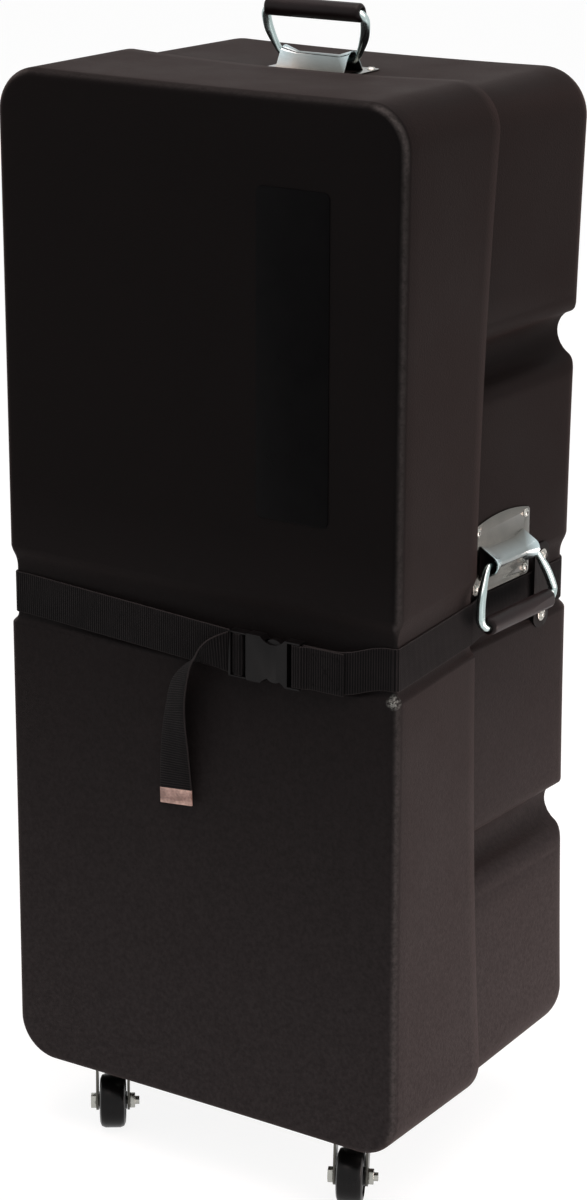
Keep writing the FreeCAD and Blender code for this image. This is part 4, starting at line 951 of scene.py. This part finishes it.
edgeBend, rearBend, bend = tubs["frontEdge"] + webOut, tubs["rearEdge"] + webOut, web["bend"]
frontBends = [edgeBend, web["rampBend"], web["rampBend"]]
beside = web["gap"] + thick / 2
barX = web["buckleLeft"] + web["thinBar"] + web["ladderGap"]
loopLeft, loopRight = barX - beside, barX + web["ladderBar"] + beside
loop = [(loopRight, loadY), (loopRight, overY), (loopLeft, overY), (loopLeft, tailY),
        (web["buckleLeft"] - web["edgeLap"], tailY)]
levelWebbing("strap_front_left", frontCorners(-1, web["buckleLeft"]) + [(x, y, buckleZ) for x, y in loop],
             frontBends + [bend] * 4)
endX = web["buckleLeft"] + web["buckleLength"] - web["endBarInset"]
seamX = web["buckleLeft"] + web["buckleLength"] + web["seam"]
wrapLeft = endX - web["endBar"] - beside
lapY = loadY - thick - web["gap"]
landX = endX + (lapY - overY) * web["wrapSlope"]
wrap = [(wrapLeft, loadY), (wrapLeft, overY), (endX, overY), (landX, lapY), (seamX, lapY)]
levelWebbing("strap_front_right", frontCorners(1, seamX) + [(x, y, buckleZ) for x, y in wrap],
             frontBends + [bend, bend, bend * 2, bend * 2])
landY = rimY + web["step"]
rearHalf = [(sideX(frontTub, rimY, strapZ) + webOut, rimY + web["gap"], strapZ),
            (sideX(rearTub, landY, strapZ) + webOut, landY, strapZ),
            (sideX(rearTub, tubs["depth"], strapZ) + webOut, tubs["depth"] + webOut, strapZ)]
levelWebbing("strap_rear", rearHalf + [(-x, y, z) for x, y, z in rearHalf[::-1]],
             [web["step"], rearBend, rearBend, web["step"]])
print("level webbing made")

# The free end: lower and upper edge of each section, along, out and up, in widths of the webbing

tailShares = [
    (0.00, 0.00, -0.50, 0.00, 0.00, 0.50),
    (-0.18, 0.03, -0.46, -0.05, 0.28, 0.50),
    (-0.39, 0.04, -0.41, -0.15, 0.50, 0.45),
    (-0.64, 0.04, -0.36, -0.25, 0.62, 0.36),
    (-0.84, 0.03, -0.36, -0.36, 0.71, 0.20),
    (-1.04, 0.02, -0.42, -0.47, 0.74, -0.03),
    (-1.24, 0.01, -0.55, -0.60, 0.71, -0.23),
    (-1.47, 0.00, -0.77, -0.73, 0.62, -0.51),
    (-1.66, -0.01, -1.07, -0.85, 0.52, -0.80),
    (-1.81, -0.03, -1.63, -0.97, 0.43, -1.33),
    (-1.91, -0.05, -2.10, -1.02, 0.34, -1.88),
    (-1.98, -0.07, -2.61, -1.04, 0.22, -2.47),
    (-2.04, -0.09, -3.70, -1.07, 0.03, -3.56),
]


# A point on the smooth curve through some points, at a share of the way along
def smoothLine(points, share):
    place = share * (len(points) - 1)
    k = min(int(place), len(points) - 2)
    t = place - k
    p1, p2 = points[k], points[k + 1]
    before = points[k - 1] if k else p1 * 2 - p2
    after = points[k + 2] if k + 2 < len(points) else p2 * 2 - p1
    return ((p1 * 2) + (p2 - before) * t + (before * 2 - p1 * 5 + p2 * 4 - after) * t ** 2
            + (p1 * 3 - before - p2 * 3 + after) * t ** 3) * 0.5


def tailLine():
    origin = inCase(web["buckleLeft"], tailY, buckleZ)
    lows = [origin + Vector((a, -b, c)) * web["width"] for a, b, c, *_ in tailShares]
    highs = [origin + Vector((a, -b, c)) * web["width"] for *_, a, b, c in tailShares]
    shares = [k / web["tailSteps"] for k in range(web["tailSteps"] + 1)]
    pairs = [(smoothLine(lows, share), smoothLine(highs, share)) for share in shares]
    acrosses = [(b - a).normalized() for a, b in pairs]
    (spots, across), at = resampled([(a + b) / 2 for a, b in pairs], ribStep, acrosses)
    return spots, [v.normalized() for v in across], at


tailSpots, tailAcross, tailLengths = tailLine()
ribbedWebbing("strap_tail", tailSpots, tailLengths, tailAcross)
tailAhead = (tailSpots[-1] - tailSpots[-1 - web["tailEnd"]]).normalized()
tipLengths = [web["tipLength"] * k / web["tipSteps"] for k in range(web["tipSteps"] + 1)]
tipSpots = [tailSpots[-1] + tailAhead * along for along in tipLengths]
tip = webbingPiece("strapTip", tipSpots, tipLengths, [tailAcross[-1]] * len(tipSpots), "tip")
shadeByAngle(tip, angles["webbing"])
placed(tip, "front_tub", ["strap_tip"])
print("free end made")

# Small things that repeat: one tree of nodes sets a head on every point, turned to face outwards

def makeScatterTree():
    tree, start = newTree("scatter", [("Head", "Object"), ("Look", "Material")])
    turned = None
    for name, axis, pivot in (("outward", "Z", "AUTO"), ("ahead", "X", "Z")):
        aim = attribute(tree, name, "FLOAT_VECTOR")
        turn = addNode(tree, "FunctionNodeAlignRotationToVector", Vector=aim)
        turn.axis, turn.pivot_axis = axis, pivot
        if turned:
            tree.links.new(turned, turn.inputs["Rotation"])
        turned = turn.outputs["Rotation"]
    head = addNode(tree, "GeometryNodeObjectInfo", Object=start.outputs["Head"])
    place = addNode(tree, "GeometryNodeInstanceOnPoints", Points=start.outputs["Geometry"],
                    Instance=head.outputs["Geometry"], Rotation=turned)
    return endTree(tree, start, place.outputs["Instances"])


scatterTree = makeScatterTree()


# points are (place, outward, ahead); makeHead fills a bmesh with one head, its base at z 0
def scattered(name, makeHead, points, body, look):
    work = bmesh.new()
    makeHead(work)
    head = pieceFrom(work, f"{name}Head")
    piece = meshPiece(name, [p[0] for p in points], [])
    for title, column in (("outward", 1), ("ahead", 2)):
        mark(piece, title, [c for p in points for c in p[column]], "FLOAT_VECTOR")
    runTree(piece, scatterTree, {"Head": head, "Look": looks[look]}, angles["smooth"])
    bpy.data.objects.remove(head)
    placed(piece, body)


# Lists of corner points, one for each loose solid of a node
def islands(node):
    work = merged(nodes[node].data)
    left, groups = set(work.verts), []
    for first in list(work.verts):
        group, edge = [], [first] if first in left else []
        left.discard(first)
        while edge:
            vert = edge.pop()
            group.append(vert.co.copy())
            others = [link.other_vert(vert) for link in vert.link_edges]
            edge += [other for other in others if other in left]
            left.difference_update(others)
        groups += [group] if group else []
    work.free()
    return groups


fixing = {
    "crossLength": 0.0042, "crossWidth": 0.0009, "crossRise": 0.00012, "crossTurn": Vector((0, 0.8, 0.6)),
    "eyeRadius": 0.0017, "eyeTop": 0.8, "eyeSides": 24, "crownGap": 0.01 * mm,
}


# Middle of a solid's outermost flat
def crown(group, outward):
    reach = max(p.dot(outward) for p in group)
    tops = [p for p in group if p.dot(outward) > reach - fixing["crownGap"]]
    return sum(tops, Vector()) / len(tops)


# A block that stands on a spot
def addBlock(work, x, y, z, spot=Vector()):
    for vert in bmesh.ops.create_cube(work, size=1)["verts"]:
        vert.co = spot + Vector((vert.co.x * x, vert.co.y * y, (vert.co.z + 0.5) * z))


# A thin dark cross standing on the screw head: painted shade in place of the hollow recess
def crossRecess(work):
    addBlock(work, fixing["crossLength"], fixing["crossWidth"], fixing["crossRise"])
    addBlock(work, fixing["crossWidth"], fixing["crossLength"], fixing["crossRise"])


# A thin dark disc standing on the rivet: painted shade in place of its hollow eye
def rivetEye(work):
    radius = fixing["eyeRadius"]
    bmesh.ops.create_cone(work, cap_ends=True, segments=fixing["eyeSides"], radius1=radius,
                          radius2=radius * fixing["eyeTop"], depth=2 * fixing["crossRise"])


screwPoints = []
for group in islands("keeper_screws"):
    outward = right * math.copysign(1, group[0].x - caseOrigin.x)
    screwPoints.append((crown(group, outward), outward, fixing["crossTurn"]))
scattered("keeperScrewCrosses", crossRecess, screwPoints, bodyOf("keeper_screws"), "recess")
for handle, outward in (("side", sideOut), ("top", up)):
    node = f"{handle}_handle_rivets"
    eyes = [(crown(group, outward), outward, back) for group in islands(node)]
    scattered(f"{handle}RivetEyes", rivetEye, eyes, bodyOf(node), "recess")
print("fixings made")

# Stitches that hold the right strap's end down on itself: a box with a cross in it

stitch = {
    "length": 0.0026, "width": 0.0005, "rise": 0.00025, "round": 0.3, "pitch": 0.0036, "start": 0.010,
    "end": 0.004, "margin": 0.005,
}


def stitchHead(work):
    addBlock(work, stitch["length"], stitch["width"], stitch["rise"])
    bmesh.ops.bevel(work, geom=work.edges[:], offset=stitch["width"] * stitch["round"],
                    segments=easeSegments, affect="EDGES")


def stitchPoints():
    x0, x1 = web["buckleLeft"] + web["buckleLength"] + stitch["start"], seamX - stitch["end"]
    half = web["width"] / 2 - stitch["margin"]
    face = lapY - thick / 2 - web["ribDepth"] / 2
    corners = [Vector((x, face, buckleZ + z)) for x, z in ((x0, half), (x1, half), (x1, -half), (x0, -half))]
    lines = list(zip(corners, corners[1:] + corners[:1])) + [corners[::2], corners[1::2]]
    points = []
    for start, end in lines:
        count = int((end - start).length / stitch["pitch"])
        ahead = (end - start).normalized()
        points += [(inCase(*start.lerp(end, (k + 0.5) / count)), -back, ahead) for k in range(count)]
    return points


scattered("lapStitches", stitchHead, stitchPoints(), "front_tub", "thread")
print("stitches made")

# Label place, left bare: x from the case's middle, heights from its base

label = {
    "left": 0.063, "right": 0.1349, "low": 0.5676, "high": 0.8488, "corner": 0.006, "steps": 8,
    "thickness": 0.0006, "sunk": 0.0002, "easing": 0.25 * mm,
}


def makeLabel():
    corner, quarters = label["corner"], ((1, 1), (-1, 1), (-1, -1), (1, -1))
    middle = Vector((label["left"] + label["right"], label["low"] + label["high"])) / 2
    half = Vector((label["right"] - label["left"], label["high"] - label["low"])) / 2
    outline = []
    for quarter, (wayX, wayZ) in enumerate(quarters):
        for k in range(label["steps"] + 1):
            turn = math.pi / 2 * (quarter + k / label["steps"])
            outline.append((middle.x + wayX * (half.x - corner) + corner * math.cos(turn),
                            caseBase + middle.y + wayZ * (half.y - corner) + corner * math.sin(turn)))
    count = len(outline)
    spots = [inCase(x, y, z) for y in (label["sunk"], -label["thickness"]) for x, z in outline]
    faces = [tuple(range(count, 2 * count)), tuple(reversed(range(count)))]
    faces += [(k, (k + 1) % count, count + (k + 1) % count, count + k) for k in range(count)]
    piece = mended(meshPiece("labelPlate", spots, faces, "label"))
    easeEdges(piece, label["easing"], angles["smooth"])
    return finished(piece)


placed(makeLabel(), "front_tub")
print("label plate made")

# Pads under the tubs that the caster plates are bolted to

pads = {"width": 0.076, "depth": 0.060, "front": 0.0045, "rear": 0.0105, "easing": 0.4 * mm}


def makePad(name, node, height):
    low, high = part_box(node)
    work = bmesh.new()
    addBlock(work, pads["width"], pads["depth"], height, Vector((*((low + high) / 2).xy, high.z)))
    piece = pieceFrom(work, name, "tub")
    easeEdges(piece, pads["easing"], angles["smooth"])
    return finished(piece)


for corner in casters:
    node = f"{corner}_caster_plate"
    height = pads[corner.split("_")[0]]
    placed(makePad(camel(f"{corner}_pad"), node, height), bodyOf(node))
print("pads made")

# Studio: pale floor, plain white background, soft lamps (name, place, aim, width, watts, colour)

studio = {
    "floorSize": 60.0, "floorColor": (0.86, 0.86, 0.86), "floorRough": 0.9, "floorShare": 0.72,
    "floorGlow": 1.22, "worldLight": 0.40,
    "lamps": [
        ("overhead", (0.3, -0.3, 3.0), (0.0, 0.0, 0.5), 2.6, 80.0, (1.0, 0.82, 0.79)),
        ("frontLeft", (-2.6, -2.8, 1.9), (0.0, 0.0, 0.5), 1.8, 3.5, (0.97, 0.99, 1.0)),
        ("rightSide", (3.2, -0.9, 1.3), (0.1, 0.0, 0.45), 1.6, 5.0, (1.0, 0.94, 0.92)),
        ("lowRight", (1.0, 0.32, 0.06), (0.2, 0.02, 0.20), 0.7, 15.0, (1.0, 0.81, 0.77)),
    ],
}


# 1 for camera, mirror and glass rays, 0 for the light that reaches the object
def seenDirectly(tree):
    path = tree.nodes.new("ShaderNodeLightPath")
    total = path.outputs["Is Camera Ray"]
    for name in ("Is Glossy Ray", "Is Transmission Ray"):
        total = treeMath(tree, "MAXIMUM", total, path.outputs[name])
    return total


def makeFloor():
    half = studio["floorSize"] / 2
    corners = [(-half, -half, 0), (half, -half, 0), (half, half, 0), (-half, half, 0)]
    floor = meshPiece("floor", corners, [(0, 1, 2, 3)])
    color, rough = studio["floorColor"], studio["floorRough"]
    look, tree, shader = newLook("paleFloor", color, rough, Specular_IOR_Level=0)
    glow = addNode(tree, "ShaderNodeEmission", (("Color", (1, 1, 1, 1)), ("Strength", studio["floorGlow"])))
    mix = addNode(tree, "ShaderNodeMixShader", Fac=times(tree, seenDirectly(tree), studio["floorShare"]))
    tree.links.new(shader.outputs[0], mix.inputs[1])
    tree.links.new(glow.outputs[0], mix.inputs[2])
    tree.links.new(mix.outputs[0], tree.nodes["Material Output"].inputs["Surface"])
    floor.data.materials.append(look)


def makeWorld():
    world = bpy.data.worlds.new("studio")
    bpy.context.scene.world = world
    world.use_nodes = True
    tree = world.node_tree
    backdrop = tree.nodes["Background"]
    backdrop.inputs["Color"].default_value = (1, 1, 1, 1)
    level = spread(tree, seenDirectly(tree), studio["worldLight"], 1.0)
    tree.links.new(level, backdrop.inputs["Strength"])


def makeLamps():
    for name, spot, target, width, power, color in studio["lamps"]:
        lamp = bpy.data.lights.new(name, "AREA")
        lamp.shape, lamp.color = "SQUARE", color
        lamp.size = width
        lamp.energy = power
        turn = (Vector(target) - Vector(spot)).to_track_quat("-Z", "Y").to_matrix().to_4x4()
        newObject(name, lamp).matrix_world = Matrix.Translation(spot) @ turn


makeFloor()
makeWorld()
makeLamps()

# Camera at the photograph's angle: turned left, looking a little down; lens and sensor in millimetres

cameraSetting = {
    "spot": (1.48445, -2.26158, 1.36990), "yaw": 33.315, "pitch": 17.606, "roll": 0.18, "lens": 94.41,
    "sensor": 36,
}


def makeCamera():
    yaw, pitch, roll = (math.radians(cameraSetting[key]) for key in ("yaw", "pitch", "roll"))
    ahead = Vector((-math.sin(yaw) * math.cos(pitch), math.cos(yaw) * math.cos(pitch), -math.sin(pitch)))
    level = Vector((math.cos(yaw), math.sin(yaw), 0))
    rise = level.cross(ahead)
    side = level * math.cos(roll) + rise * math.sin(roll)
    rise = rise * math.cos(roll) - level * math.sin(roll)
    data = bpy.data.cameras.new("camera")
    data.lens, data.sensor_width = cameraSetting["lens"], cameraSetting["sensor"]
    camera = newObject("camera", data)
    turn = Matrix((side, rise, -ahead)).transposed().to_4x4()
    camera.matrix_world = Matrix.Translation(cameraSetting["spot"]) @ turn
    bpy.context.scene.camera = camera


makeCamera()
bpy.context.scene.view_settings.view_transform = "Standard"
print("studio made")
